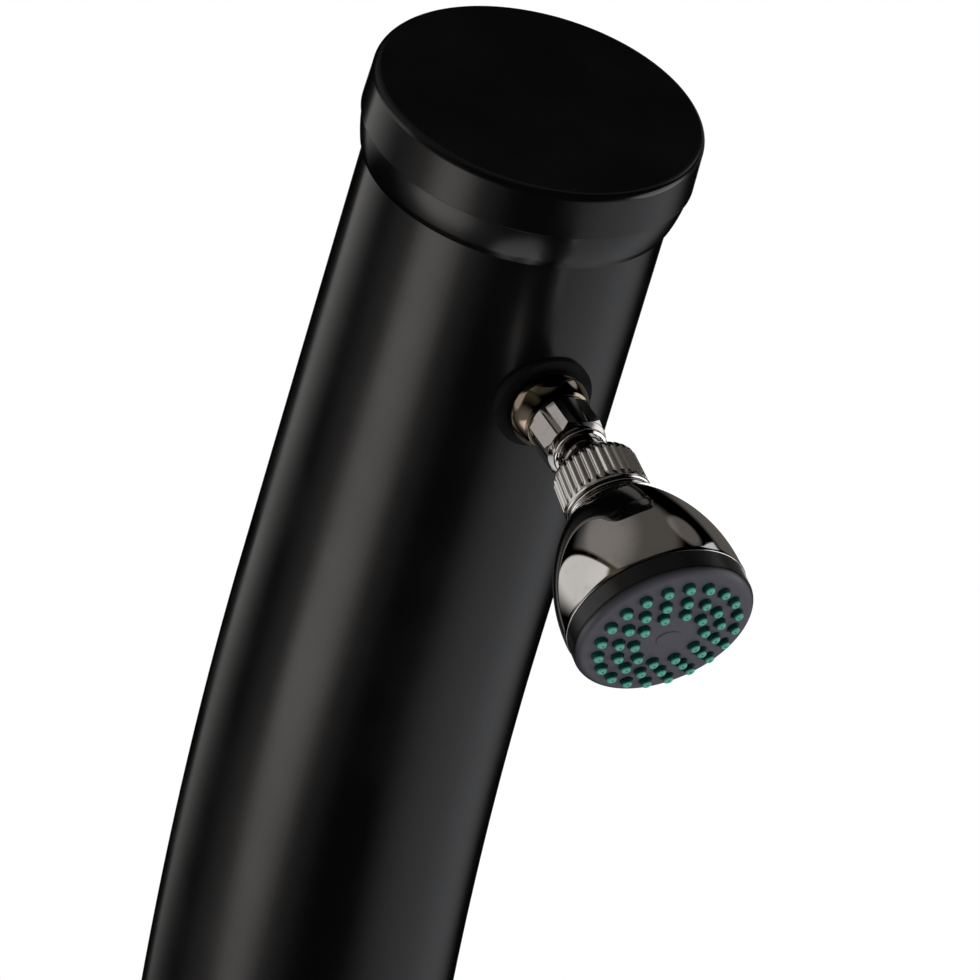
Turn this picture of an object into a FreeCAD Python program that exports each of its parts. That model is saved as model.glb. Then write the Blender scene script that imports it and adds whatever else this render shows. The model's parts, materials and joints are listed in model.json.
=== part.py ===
"""Outdoor shower post: a curved black tank tube on a bolted foot, with a mixer, a foot tap,
a hose inlet, a drain and a knurled ball-joint shower head under the leaning top.

Millimetres. The origin is the centre of the foot on the ground, +Z is up, and the post leans and
sprays towards -Y. The plane X = 0 is the plane of the bend.
"""
import FreeCAD, Part
import math
import os

import Sketcher

V = FreeCAD.Vector

# ---------------------------------------------------------------- driving dimensions

DIMENSIONS = {
    # tank tube
    "tube_radius": 62.5,
    "tube_wall": 3.0,
    "glue_gap": 0.1,
    "lean_angle": 30.5,
    "bend_radius": 1100.0,
    "bend_start": 1370.0,
    "top_straight": 245.0,
    "coupling_height": 1000.0,
    # foot
    "foot_radius": 130.0,
    "foot_rim": 8.0,
    "foot_crown": 20.0,
    "foot_floor": 10.0,
    "socket_radius": 72.0,
    "socket_top": 95.0,
    "foot_boss_radius": 15.0,
    "foot_boss_top": 17.0,
    "anchor_circle": 100.0,
    "anchor_hole": 5.5,
    "gusset_reach": 118.0,
    "gusset_top": 86.0,
    "gusset_width": 6.0,
    "socket_screw_height": 45.0,
    "socket_screw_radius": 2.1,
    # tank ends
    "plug_bottom": 70.0,
    "plug_depth": 34.0,
    "plug_floor": 5.0,
    "plug_wall": 4.0,
    "cap_radius": 68.0,
    "cap_side": 20.0,
    "cap_depth": 37.0,
    "cap_roof": 4.0,
    "cap_edge": 3.0,
    # coupling of the two tube lengths
    "sleeve_radius": 67.0,
    "sleeve_length": 50.0,
    "flange_radius": 70.0,
    "flange_height": 9.0,
    "ring_groove": 3.8,
    "coupling_ring": 1.85,
    "nut_radius": 76.0,
    "nut_below": 32.0,
    "nut_above": 15.0,
    "nut_scallop": 7.0,
    # heights of the wall fittings
    "mixer_height": 1130.0,
    "foot_tap_height": 330.0,
    "inlet_height": 200.0,
    "drain_height": 135.0,
    "arm_drop": 101.5,
    # threads and hoses
    "half_inch_radius": 10.4,
    "hose_radius": 6.5,
    "hose_bore": 4.3,
    "barb_radius": 4.2,
    "barb_length": 12.0,
    "shank_end": 44.0,
    "hose_leg": 14.0,
    "hose_bend": 16.0,
    "clamp_wall": 1.0,
    "clamp_width": 8.0,
    # mixer, measured from the tube axis along the fitting's own axis
    "mixer_base_radius": 31.0,
    "mixer_barrel_radius": 27.0,
    "mixer_seat": 65.0,
    "mixer_mouth": 100.0,
    "mixer_floor": 74.0,
    "cartridge_radius": 17.4,
    "cartridge_shoulder": 90.0,
    "mixer_nut_radius": 20.0,
    "mixer_pivot": 104.0,
    "dome_radius": 22.0,
    "dome_wall": 2.0,
    "dome_hole": 14.5,
    "stem_pin_radius": 1.2,
    "grub_radius": 1.25,
    "lever_ball_radius": 26.0,
    "lever_ball_wall": 3.5,
    "lever_reach": 86.0,
    "lever_width": 19.0,
    "shank_radius": 8.0,
    "port_spread": 14.0,
    "port_drop": 6.0,
    # foot tap
    "tap_flange_radius": 15.5,
    "tap_barrel_radius": 11.5,
    "tap_mouth": 104.0,
    "spout_radius": 8.0,
    "spout_drop": 36.0,
    "spout_reach": 77.5,
    "tap_hub_radius": 13.0,
    "tap_lever_reach": 46.0,
    # hose inlet and drain
    "three_quarter_radius": 13.1,
    "inlet_stub": 16.0,
    # shower arm, measured from the tube axis along the arm
    "arm_washer_radius": 20.5,
    "nipple_radius": 16.8,
    "nipple_nose": 14.2,
    "nipple_front": 76.8,
    "hex_radius": 14.2,
    "hex_start": 78.4,
    "hex_end": 94.0,
    "neck_radius": 8.6,
    "ball_radius": 12.5,
    "ball_reach": 48.5,
    # shower head, measured from the ball's centre along the head's axis
    "head_angle": 45.4,
    "collar_back": 4.2,
    "collar_front": 16.5,
    "collar_top_radius": 17.4,
    "collar_foot_radius": 18.2,
    "collar_ribs": 32.0,
    "collar_groove": 1.0,
    "neck_thread_radius": 14.3,
    "bell_lip_radius": 17.6,
    "bell_start": 18.7,
    "bell_rim": 69.6,
    "bell_radius": 37.7,
    "bell_curve": 68.0,
    "bell_wall": 2.2,
    "face_level": 80.7,
    "face_radius": 37.1,
    "nozzle_tip": 83.4,
    "nozzle_radius": 2.3,
    "nozzle_bore": 0.6,
    "outer_ring": 29.0,
    "middle_ring": 21.5,
    "inner_ring": 14.8,
}

NOZZLE_RINGS = [
    # sheet name, nozzles in the ring, angle of the first nozzle
    ("outer_ring", 20, 3.7),
    ("middle_ring", 15, 18.6),
    ("inner_ring", 10, 12.5),
]


class Size:
    """A length with both its number and the sheet expression that it comes from."""

    def __init__(self, value, text):
        self.value = value
        self.text = text

    def __add__(self, other):
        return Size(self.value + number(other), f"({self.text} + {words(other)})")

    def __sub__(self, other):
        return Size(self.value - number(other), f"({self.text} - {words(other)})")

    def __mul__(self, other):
        return Size(self.value * number(other), f"({self.text} * {words(other)})")

    def __truediv__(self, other):
        return Size(self.value / number(other), f"({self.text} / {words(other)})")

    def __neg__(self):
        return Size(-self.value, f"(0 - {self.text})")

    def __radd__(self, other):
        return Size(number(other) + self.value, f"({words(other)} + {self.text})")

    def __rsub__(self, other):
        return Size(number(other) - self.value, f"({words(other)} - {self.text})")

    __rmul__ = __mul__


def number(size):
    return size.value if isinstance(size, Size) else float(size)


def words(size):
    return size.text if isinstance(size, Size) else repr(round(float(size), 6))


def sine(angle):
    return Size(math.sin(math.radians(angle.value)), f"sin({angle.text} * 1deg)")


def cosine(angle):
    return Size(math.cos(math.radians(angle.value)), f"cos({angle.text} * 1deg)")


def root(square):
    return Size(math.sqrt(square.value), f"sqrt({square.text})")


def on_ball(radius, distance):
    """How far a ball of this radius stands out at this distance from its centre."""
    return root(radius * radius - distance * distance)


class Dimensions:
    """Fills the sheet and gives each alias back as a Size."""

    def __init__(self, sheet, table):
        for row, (alias, value) in enumerate(table.items(), start=1):
            sheet.set(f"A{row}", alias)
            sheet.set(f"B{row}", str(value))
            sheet.setAlias(f"B{row}", alias)
            setattr(self, alias, Size(value, f"dims.{alias}"))


doc = FreeCAD.newDocument("outdoor_shower_post")
d = Dimensions(doc.addObject("Spreadsheet::Sheet", "dims"), DIMENSIONS)
doc.recompute()

parts = []


def bind(thing, name, size):
    """Sets a property from a size and keeps it tied to the sheet."""
    if isinstance(size, Size):
        thing.setExpression(name, size.text)
    else:
        setattr(thing, name, size)


# ---------------------------------------------------------------- frames of the fittings

def frame(x, y, z, turn):
    """A place in the post, turned about X: its own Z points along the fitting's axis."""
    return (x, y, z, turn)


def front(height):
    return frame(0, 0, height, 90)


def back(height):
    return frame(0, 0, height, -90)


def top_point(drop, forward=0):
    """A point of the leaning top: this far below the cap's top, this far out of the axis."""
    reach = d.bend_radius * (1 - cosine(d.lean_angle)) + (d.top_straight - drop) * sine(d.lean_angle)
    rise = d.bend_radius * sine(d.lean_angle) + (d.top_straight - drop) * cosine(d.lean_angle)
    y = -(reach + forward * cosine(d.lean_angle))
    z = d.bend_start + rise - forward * sine(d.lean_angle)
    return y, z


CAP_Y, CAP_Z = top_point(0)
ARM_Y, ARM_Z = top_point(d.arm_drop)
BALL_Y, BALL_Z = top_point(d.arm_drop, d.tube_radius + d.ball_reach)

UPRIGHT = frame(0, 0, 0, 0)
CAP = frame(0, CAP_Y, CAP_Z, d.lean_angle)
ARM = frame(0, ARM_Y, ARM_Z, 90 + d.lean_angle)
HEAD = frame(0, BALL_Y, BALL_Z, 90 + d.head_angle)
MIXER = front(d.mixer_height)
FOOT_TAP = front(d.foot_tap_height)
INLET = back(d.inlet_height)
DRAIN = back(d.drain_height)


def place(body, spot):
    """Stands a body in its frame and ties the frame's position to the sheet."""
    x, y, z, turn = spot
    rotation = FreeCAD.Rotation(V(1, 0, 0), number(turn))
    body.Placement = FreeCAD.Placement(V(number(x), number(y), number(z)), rotation)
    for axis, size in zip("xyz", (x, y, z)):
        if isinstance(size, Size):
            body.setExpression(f"Placement.Base.{axis}", size.text)


# ---------------------------------------------------------------- sketches

def new_body(label, spot):
    body = doc.addObject("PartDesign::Body", label)
    body.Label = label
    place(body, spot)
    parts.append(body)
    return body


def origin_feature(body, role):
    return next(item for item in body.Origin.OriginFeatures if item.Role == role)


def new_sketch(body, plane="XY_Plane", level=0, turn=None):
    """A sketch on one of the body's own planes, lifted off it or turned in its frame."""
    sketch = body.newObject("Sketcher::SketchObject", f"{body.Label}_sketch")
    sketch.AttachmentSupport = [(origin_feature(body, plane), "")]
    sketch.MapMode = "FlatFace"
    axis, angle = turn if turn else (V(0, 0, 1), 0)
    sketch.AttachmentOffset = FreeCAD.Placement(V(0, 0, number(level)), FreeCAD.Rotation(axis, angle))
    if isinstance(level, Size):
        sketch.setExpression("AttachmentOffset.Base.z", level.text)
    return sketch


def constrain(sketch, kind, size, *places):
    index = sketch.addConstraint(Sketcher.Constraint(kind, *places, number(size)))
    if isinstance(size, Size):
        sketch.setExpression(f"Constraints[{index}]", size.text)


def pin(sketch, geometry, end, x, y):
    """Holds a point of the sketch at its distances from the sketch's axes."""
    for kind, size, axis in (("DistanceX", x, -2), ("DistanceY", y, -1)):
        if abs(number(size)) < 1e-9:
            sketch.addConstraint(Sketcher.Constraint("PointOnObject", geometry, end, axis))
        else:
            constrain(sketch, kind, size, -1, 1, geometry, end)


def arc_middle(start, finish, radius):
    """The middle of an arc. A positive radius bulges to the right of the way it is drawn."""
    chord = finish - start
    side = V(chord.y, -chord.x, 0) * (math.copysign(1, radius) / chord.Length)
    rise = abs(radius) - math.sqrt(radius * radius - chord.Length ** 2 / 4)
    return (start + finish) * 0.5 + side * rise


def outline(sketch, corners):
    """A closed loop. A corner is (x, y), or (x, y, radius) where an arc leaves it."""
    points = [V(number(corner[0]), number(corner[1]), 0) for corner in corners]
    ends = []
    for index, corner in enumerate(corners):
        start = points[index]
        finish = points[(index + 1) % len(points)]
        if len(corner) == 3:
            edge = Part.Arc(start, arc_middle(start, finish, number(corner[2])), finish)
        else:
            edge = Part.LineSegment(start, finish)
        geometry = sketch.addGeometry(edge)
        first = 1 if sketch.getPoint(geometry, 1).distanceToPoint(start) < 1e-6 else 2
        ends.append((geometry, first, 3 - first))
        if len(corner) == 3:
            size = corner[2] if number(corner[2]) > 0 else -corner[2]
            constrain(sketch, "Radius", size, geometry)
    for (geometry, _, last), (following, first, _) in zip(ends, ends[1:] + ends[:1]):
        sketch.addConstraint(Sketcher.Constraint("Coincident", geometry, last, following, first))
    for (geometry, first, _), corner in zip(ends, corners):
        pin(sketch, geometry, first, corner[0], corner[1])


def circle(sketch, x, y, radius):
    middle = V(number(x), number(y), 0)
    geometry = sketch.addGeometry(Part.Circle(middle, V(0, 0, 1), number(radius)))
    constrain(sketch, "Radius", radius, geometry)
    pin(sketch, geometry, 3, x, y)


def hexagon(sketch, radius, x=0, y=0):
    steps = [math.radians(60 * index) for index in range(6)]
    outline(sketch, [(x + radius * math.cos(step), y + radius * math.sin(step)) for step in steps])


# ---------------------------------------------------------------- features

def add_feature(body, kind, sketch):
    feature = body.newObject(f"PartDesign::{kind}", f"{body.Label}_{kind.lower()}")
    feature.Profile = sketch
    sketch.Visibility = False
    body.Tip = feature
    return feature


def turn_profile(body, corners, kind="Revolution"):
    """Turns an outline of (radius, height) corners about the body's own Z axis."""
    sketch = new_sketch(body, "XZ_Plane")
    outline(sketch, corners)
    feature = add_feature(body, kind, sketch)
    feature.ReferenceAxis = (sketch, ["V_Axis"])
    feature.Angle = 360
    return feature


def extrude(body, kind, sketch, length, both_ways=False, back_way=False, taper=0):
    """A pad or a pocket. back_way is against the sketch's normal for a pad, along it for a pocket."""
    feature = add_feature(body, kind, sketch)
    bind(feature, "Length", length)
    feature.SideType = "Symmetric" if both_ways else "One side"
    feature.Reversed = back_way
    feature.TaperAngle = taper
    return feature


def pad(body, sketch, length, **way):
    return extrude(body, "Pad", sketch, length, **way)


def pocket(body, sketch, length, **way):
    return extrude(body, "Pocket", sketch, length, **way)


def repeat_round(body, features, count):
    pattern = body.newObject("PartDesign::PolarPattern", f"{body.Label}_pattern")
    pattern.Originals = features
    pattern.Axis = (origin_feature(body, "Z_Axis"), [""])
    pattern.Angle = 360
    if isinstance(count, Size):
        pattern.setExpression("Occurrences", count.text)
        pattern.Occurrences = int(count.value)
    else:
        pattern.Occurrences = count
    body.Tip = pattern
    return pattern


def round_edges(body, radius, wanted):
    """Rounds the edges whose middle point is wanted."""
    doc.recompute()
    base = body.Tip
    names = []
    for index, edge in enumerate(base.Shape.Edges, start=1):
        middle = edge.valueAt((edge.FirstParameter + edge.LastParameter) / 2)
        if wanted(middle):
            names.append(f"Edge{index}")
    feature = body.newObject("PartDesign::Fillet", f"{body.Label}_fillet")
    feature.Base = (base, names)
    bind(feature, "Radius", radius)
    body.Tip = feature


def turned(label, spot, corners):
    """A piece that is all one turning."""
    body = new_body(label, spot)
    turn_profile(body, corners)
    return body


def crown(radius, rise):
    """The radius of the ball whose cap has this foot radius and this rise."""
    return (radius * radius + rise * rise) / (2 * rise)


def saddle_cut(body):
    """Hollows the back of a fitting to sit on the round tube."""
    sketch = new_sketch(body, "XZ_Plane")
    circle(sketch, 0, 0, d.tube_radius)
    pocket(body, sketch, 4 * d.tube_radius, both_ways=True)


def saddle_washer(label, spot, radius, bore, front_level):
    """A flat-faced washer whose back fits the round tube."""
    body = new_body(label, spot)
    back_level = 0.75 * d.tube_radius
    sketch = new_sketch(body, level=back_level)
    circle(sketch, 0, 0, radius)
    circle(sketch, 0, 0, bore)
    pad(body, sketch, front_level - back_level)
    saddle_cut(body)
    return body


def hex_nut(label, spot, radius, bore, low, high):
    body = new_body(label, spot)
    sketch = new_sketch(body, level=low)
    hexagon(sketch, radius)
    circle(sketch, 0, 0, bore)
    pad(body, sketch, high - low)
    return body


def wall_hole(body, x, height, radius, rear=False):
    """A round hole through the front or the rear wall of an upright tube."""
    sketch = new_sketch(body, "XZ_Plane")
    circle(sketch, x, height, radius)
    return pocket(body, sketch, 2 * d.tube_radius, back_way=not rear)


def group(label, solids):
    """Like pieces that share one node, each a solid of its own."""
    feature = doc.addObject("Part::Feature", label)
    feature.Label = label
    feature.Shape = Part.makeCompound(solids)
    parts.append(feature)
    return feature


# ---------------------------------------------------------------- foot

def base_foot():
    body = new_body("base_foot", UPRIGHT)
    bore = d.tube_radius + d.glue_gap
    turn_profile(body, [
        (0, 0), (d.foot_radius, 0), (d.foot_radius, d.foot_rim),
        (d.foot_radius - 4, d.foot_rim + 4), (d.socket_radius + 2, d.foot_crown),
        (d.socket_radius, d.socket_top - 2), (d.socket_radius - 2, d.socket_top),
        (bore, d.socket_top), (bore, d.foot_floor), (0, d.foot_floor)])

    gusset = new_sketch(body, "XZ_Plane", turn=(V(0, 1, 0), 22.5))
    outline(gusset, [
        (d.tube_radius + 4, d.foot_rim), (d.gusset_reach, d.foot_rim),
        (d.gusset_reach, d.foot_rim + 6, -2.2 * d.gusset_top),
        (d.socket_radius + 1, d.gusset_top), (d.tube_radius + 4, d.gusset_top)])
    web = pad(body, gusset, d.gusset_width, both_ways=True)
    repeat_round(body, [web], 8)

    corner = d.anchor_circle * math.sqrt(0.5)
    ring = new_sketch(body)
    circle(ring, corner, corner, d.foot_boss_radius)
    boss = pad(body, ring, d.foot_boss_top)
    hole = new_sketch(body, level=d.foot_boss_top)
    circle(hole, corner, corner, d.anchor_hole)
    drilling = pocket(body, hole, d.foot_boss_top)
    repeat_round(body, [boss, drilling], 4)

    screw_hole = wall_hole(body, 0, d.socket_screw_height, d.socket_screw_radius + 0.1)
    repeat_round(body, [screw_hole], 4)


def socket_screws():
    """Four pan-head screws through the socket into the tube, below the tank's floor."""
    body = turned("socket_screw", front(d.socket_screw_height), [
        (0, d.tube_radius - 4), (d.socket_screw_radius, d.tube_radius - 3),
        (d.socket_screw_radius, d.socket_radius + 2), (4.5, d.socket_radius + 2),
        (4.5, d.socket_radius + 3, crown(4.5, 1.8)), (0, d.socket_radius + 4.8)])
    doc.recompute()
    parts.remove(body)
    solids = []
    for quarter in range(4):
        solid = body.Shape.copy()
        solid.rotate(V(0, 0, 0), V(0, 0, 1), 90 * quarter)
        solids.append(solid)
    group("socket_screws", solids)


# ---------------------------------------------------------------- tank

def lower_tube():
    inside = d.tube_radius - d.tube_wall
    top = d.coupling_height - 4
    body = turned("lower_tube", UPRIGHT, [
        (inside, d.foot_floor), (d.tube_radius, d.foot_floor),
        (d.tube_radius, top), (inside, top)])
    wall_hole(body, 0, d.foot_tap_height, d.shank_radius + 0.3)
    wall_hole(body, 0, d.inlet_height, d.half_inch_radius + 0.3, rear=True)
    wall_hole(body, 0, d.drain_height, d.half_inch_radius + 0.3, rear=True)
    screw_hole = wall_hole(body, 0, d.socket_screw_height, d.socket_screw_radius + 0.1)
    repeat_round(body, [screw_hole], 4)


def lower_end_plug():
    outside = d.tube_radius - d.tube_wall - d.glue_gap
    rim = outside - d.plug_wall
    floor = d.plug_bottom + d.plug_floor
    top = d.plug_bottom + d.plug_depth
    turned("lower_end_plug", UPRIGHT, [
        (0, d.plug_bottom), (outside - 3, d.plug_bottom, 3.0), (outside, d.plug_bottom + 3),
        (outside, top), (rim, top), (rim, floor), (0, floor)])


def upper_tube():
    """The upper length: straight over the coupling, then one long bend and a straight top."""
    body = new_body("upper_tube", frame(0, 0, d.coupling_height + 8, 0))
    rise = d.bend_start - d.coupling_height - 8
    bend_y = d.bend_radius * (cosine(d.lean_angle) - 1)
    bend_z = rise + d.bend_radius * sine(d.lean_angle)
    end_y = CAP_Y + d.cap_roof * sine(d.lean_angle)
    end_z = CAP_Z - d.cap_roof * cosine(d.lean_angle) - d.coupling_height - 8

    ring = new_sketch(body)
    circle(ring, 0, 0, d.tube_radius)
    circle(ring, 0, 0, d.tube_radius - d.tube_wall)

    spine = new_sketch(body, "YZ_Plane")
    ends = [(0, 0), (0, rise), (bend_y, bend_z), (end_y, end_z)]
    points = [V(number(y), number(z), 0) for y, z in ends]
    spine.addGeometry(Part.LineSegment(points[0], points[1]))
    middle = arc_middle(points[1], points[2], d.bend_radius.value)
    spine.addGeometry(Part.Arc(points[1], middle, points[2]))
    spine.addGeometry(Part.LineSegment(points[2], points[3]))
    near, far = (1, 2) if spine.getPoint(1, 1).distanceToPoint(points[1]) < 1e-6 else (2, 1)
    spine.addConstraint(Sketcher.Constraint("Coincident", 0, 2, 1, near))
    spine.addConstraint(Sketcher.Constraint("Coincident", 1, far, 2, 1))
    constrain(spine, "Radius", d.bend_radius, 1)
    pin(spine, 0, 1, 0, 0)
    pin(spine, 0, 2, 0, rise)
    pin(spine, 1, far, bend_y, bend_z)
    pin(spine, 2, 2, end_y, end_z)

    pipe = add_feature(body, "AdditivePipe", ring)
    pipe.Spine = (spine, ["Edge1", "Edge2", "Edge3"])
    spine.Visibility = False

    mixer_level = d.mixer_height - d.coupling_height - 8
    for x, drop in ports():
        wall_hole(body, x, mixer_level - drop, d.shank_radius + 0.3)

    arm_hole = new_sketch(body, "XZ_Plane")
    level = ARM_Z - d.coupling_height - 8
    turn = FreeCAD.Rotation(V(1, 0, 0), d.lean_angle.value)
    arm_hole.AttachmentOffset = FreeCAD.Placement(V(0, level.value, -ARM_Y.value), turn)
    arm_hole.setExpression("AttachmentOffset.Base.y", level.text)
    arm_hole.setExpression("AttachmentOffset.Base.z", (-ARM_Y).text)
    circle(arm_hole, 0, 0, d.half_inch_radius + 0.3)
    pocket(body, arm_hole, 2 * d.tube_radius, back_way=True)


def ports():
    """Places of the mixer's hot, cold and outlet shanks: sideways, and down from its axis."""
    return [(d.port_spread, d.port_drop), (-d.port_spread, d.port_drop), (0, -d.port_spread)]


def top_cap():
    bore = d.tube_radius + d.glue_gap
    turned("top_cap", CAP, [
        (bore, -d.cap_depth), (bore + 0.9, -d.cap_depth), (bore + 2.2, 3 - d.cap_depth, 60.0),
        (d.cap_radius - 0.9, -d.cap_side), (d.cap_radius, -d.cap_side),
        (d.cap_radius - 0.4, -d.cap_edge, d.cap_edge),
        (d.cap_radius - d.cap_edge - 0.4, 0), (0, 0), (0, -d.cap_roof), (bore, -d.cap_roof)])


# ---------------------------------------------------------------- coupling

def coupling():
    level = frame(0, 0, d.coupling_height, 0)
    bore = d.tube_radius + d.glue_gap
    inside = d.tube_radius - d.tube_wall
    groove = inside + 2.2
    turned("coupling_spigot", level, [
        (bore, -d.sleeve_length), (d.flange_radius, -d.sleeve_length),
        (d.flange_radius, 12 - d.sleeve_length, 4.0), (d.sleeve_radius, 15 - d.sleeve_length),
        (d.sleeve_radius, 0), (groove + d.ring_groove, 0),
        (groove + d.ring_groove, -d.ring_groove), (groove, -d.ring_groove), (groove, 0),
        (inside, 0), (inside, -4), (bore, -4)])
    turned("coupling_sleeve", level, [
        (inside, 0), (d.flange_radius, 0), (d.flange_radius, d.flange_height),
        (d.sleeve_radius, d.flange_height), (d.sleeve_radius, d.sleeve_length - 2),
        (d.sleeve_radius - 2, d.sleeve_length), (bore, d.sleeve_length),
        (bore, 8), (inside, 8)])

    ring = doc.addObject("Part::Torus", "coupling_ring_seal")
    ring.Label = "coupling_ring_seal"
    place(ring, frame(0, 0, d.coupling_height - d.coupling_ring, 0))
    bind(ring, "Radius1", groove + d.ring_groove / 2)
    bind(ring, "Radius2", d.coupling_ring)
    parts.append(ring)

    nut = new_body("union_nut", level)
    shoulder = d.flange_height + 0.2
    turn_profile(nut, [
        (d.sleeve_radius + 0.2, -d.nut_below), (d.nut_radius - 2, -d.nut_below),
        (d.nut_radius, 2 - d.nut_below), (d.nut_radius, d.nut_above - 2),
        (d.nut_radius - 2, d.nut_above), (d.sleeve_radius + 0.2, d.nut_above),
        (d.sleeve_radius + 0.2, shoulder), (d.flange_radius + 0.2, shoulder),
        (d.flange_radius + 0.2, 0), (d.sleeve_radius + 0.2, 0)])
    scallop = new_sketch(nut, level=d.nut_above)
    circle(scallop, d.nut_radius + 0.6 * d.nut_scallop, 0, d.nut_scallop)
    cut = pocket(nut, scallop, d.nut_above + d.nut_below)
    repeat_round(nut, [cut], 16)


# ---------------------------------------------------------------- mixer

def barb(body, x, y, end_level):
    """A ribless hose barb that runs in from the end of a shank."""
    sketch = new_sketch(body, level=end_level)
    circle(sketch, x, y, d.barb_radius)
    pad(body, sketch, d.barb_length, back_way=True)


def bored_shank(body, x, y, radius, seat, floor):
    """A shank through the tube wall with its barb and its water way."""
    sketch = new_sketch(body, level=seat)
    circle(sketch, x, y, radius)
    pad(body, sketch, seat - d.shank_end, back_way=True)
    barb(body, x, y, d.shank_end)
    way = new_sketch(body, level=floor)
    circle(way, x, y, d.barb_radius - 1.2)
    pocket(body, way, floor - d.shank_end + d.barb_length)


def mixer_body():
    body = new_body("mixer_body", MIXER)
    turn_profile(body, [
        (0, d.mixer_seat), (d.mixer_base_radius, d.mixer_seat),
        (d.mixer_base_radius, d.mixer_seat + 4, 4.0),
        (d.mixer_barrel_radius + 0.6, d.mixer_seat + 8),
        (d.mixer_barrel_radius, d.mixer_seat + 10),
        (d.mixer_barrel_radius, d.mixer_mouth - 1), (d.mixer_barrel_radius - 1, d.mixer_mouth),
        (d.mixer_nut_radius, d.mixer_mouth), (d.mixer_nut_radius, d.cartridge_shoulder),
        (d.cartridge_radius + 0.2, d.cartridge_shoulder),
        (d.cartridge_radius + 0.2, d.mixer_floor), (0, d.mixer_floor)])
    for x, drop in ports():
        bored_shank(body, x, -drop, d.shank_radius, d.mixer_seat, d.mixer_floor)


def mixer_fixings():
    saddle_washer("mixer_gasket", MIXER, d.mixer_base_radius, d.port_spread + 10.5, d.mixer_seat)
    nuts = []
    for x, drop in ports():
        body = hex_nut("mixer_backnut", frame(x, 0, d.mixer_height - drop, 90),
                       1.5 * d.shank_radius, d.shank_radius, d.shank_end + 3, d.shank_end + 9)
        doc.recompute()
        parts.remove(body)
        nuts.append(body.Shape.copy())
    group("mixer_backnuts", nuts)


def mixer_cartridge():
    """The cartridge, its nut, and the turning carrier whose two lugs hold the stem's pin."""
    collar = 11.5
    top = d.mixer_mouth - 2
    turned("mixer_cartridge", MIXER, [
        (0, d.mixer_floor + 0.2), (d.cartridge_radius, d.mixer_floor + 0.2),
        (d.cartridge_radius, d.cartridge_shoulder), (collar, d.cartridge_shoulder),
        (collar, top), (0, top)])
    turned("cartridge_nut", MIXER, [
        (collar + 0.3, d.cartridge_shoulder), (d.mixer_nut_radius - 0.2, d.cartridge_shoulder),
        (d.mixer_nut_radius - 0.2, top), (collar + 0.3, top)])
    carrier = turned("cartridge_carrier", MIXER, [
        (0, top + 0.15), (9, top + 0.15), (9, top + 1), (0, top + 1)])
    lugs = new_sketch(carrier, level=top + 1)
    for side in (1, -1):
        outline(lugs, [(side * 5, -2.5), (side * 7.5, -2.5), (side * 7.5, 2.5), (side * 5, 2.5)])
    pad(carrier, lugs, 7.5)
    cross_hole(carrier, d.stem_pin_radius + 0.02)
    stem_pin = new_body("stem_pin", MIXER)
    ring = new_sketch(stem_pin, "YZ_Plane")
    circle(ring, 0, d.mixer_pivot, d.stem_pin_radius)
    pad(stem_pin, ring, 14.6, both_ways=True)


def cross_hole(body, radius):
    """A hole across the mixer's axis at the lever's pivot."""
    sketch = new_sketch(body, "YZ_Plane")
    circle(sketch, 0, d.mixer_pivot, radius)
    pocket(body, sketch, 30, both_ways=True)


def mixer_dome():
    """The chrome ball cover round the lever's pivot."""
    inner = d.dome_radius - d.dome_wall
    turned("mixer_dome", MIXER, [
        (inner, d.mixer_mouth), (d.mixer_barrel_radius - 0.5, d.mixer_mouth),
        (d.mixer_barrel_radius - 0.5, d.mixer_mouth + 1.5),
        (d.mixer_barrel_radius - 1.5, d.mixer_mouth + 2.5),
        (d.dome_radius, d.mixer_mouth + 2.5), (d.dome_radius, d.mixer_pivot, d.dome_radius),
        (d.dome_hole, d.mixer_pivot + on_ball(d.dome_radius, d.dome_hole)),
        (d.dome_hole, d.mixer_pivot + on_ball(inner, d.dome_hole), -inner),
        (inner, d.mixer_pivot)])


def mixer_stem():
    ball = 4.5
    shaft = 4.0
    end = d.mixer_pivot + d.lever_ball_radius - d.lever_ball_wall
    neck = math.sqrt(ball * ball - shaft * shaft)
    body = turned("mixer_stem", MIXER, [
        (0, d.mixer_pivot - ball, ball), (shaft, d.mixer_pivot + neck),
        (shaft, end - 0.2), (0, end - 0.2)])
    cross_hole(body, d.stem_pin_radius + 0.15)


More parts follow.
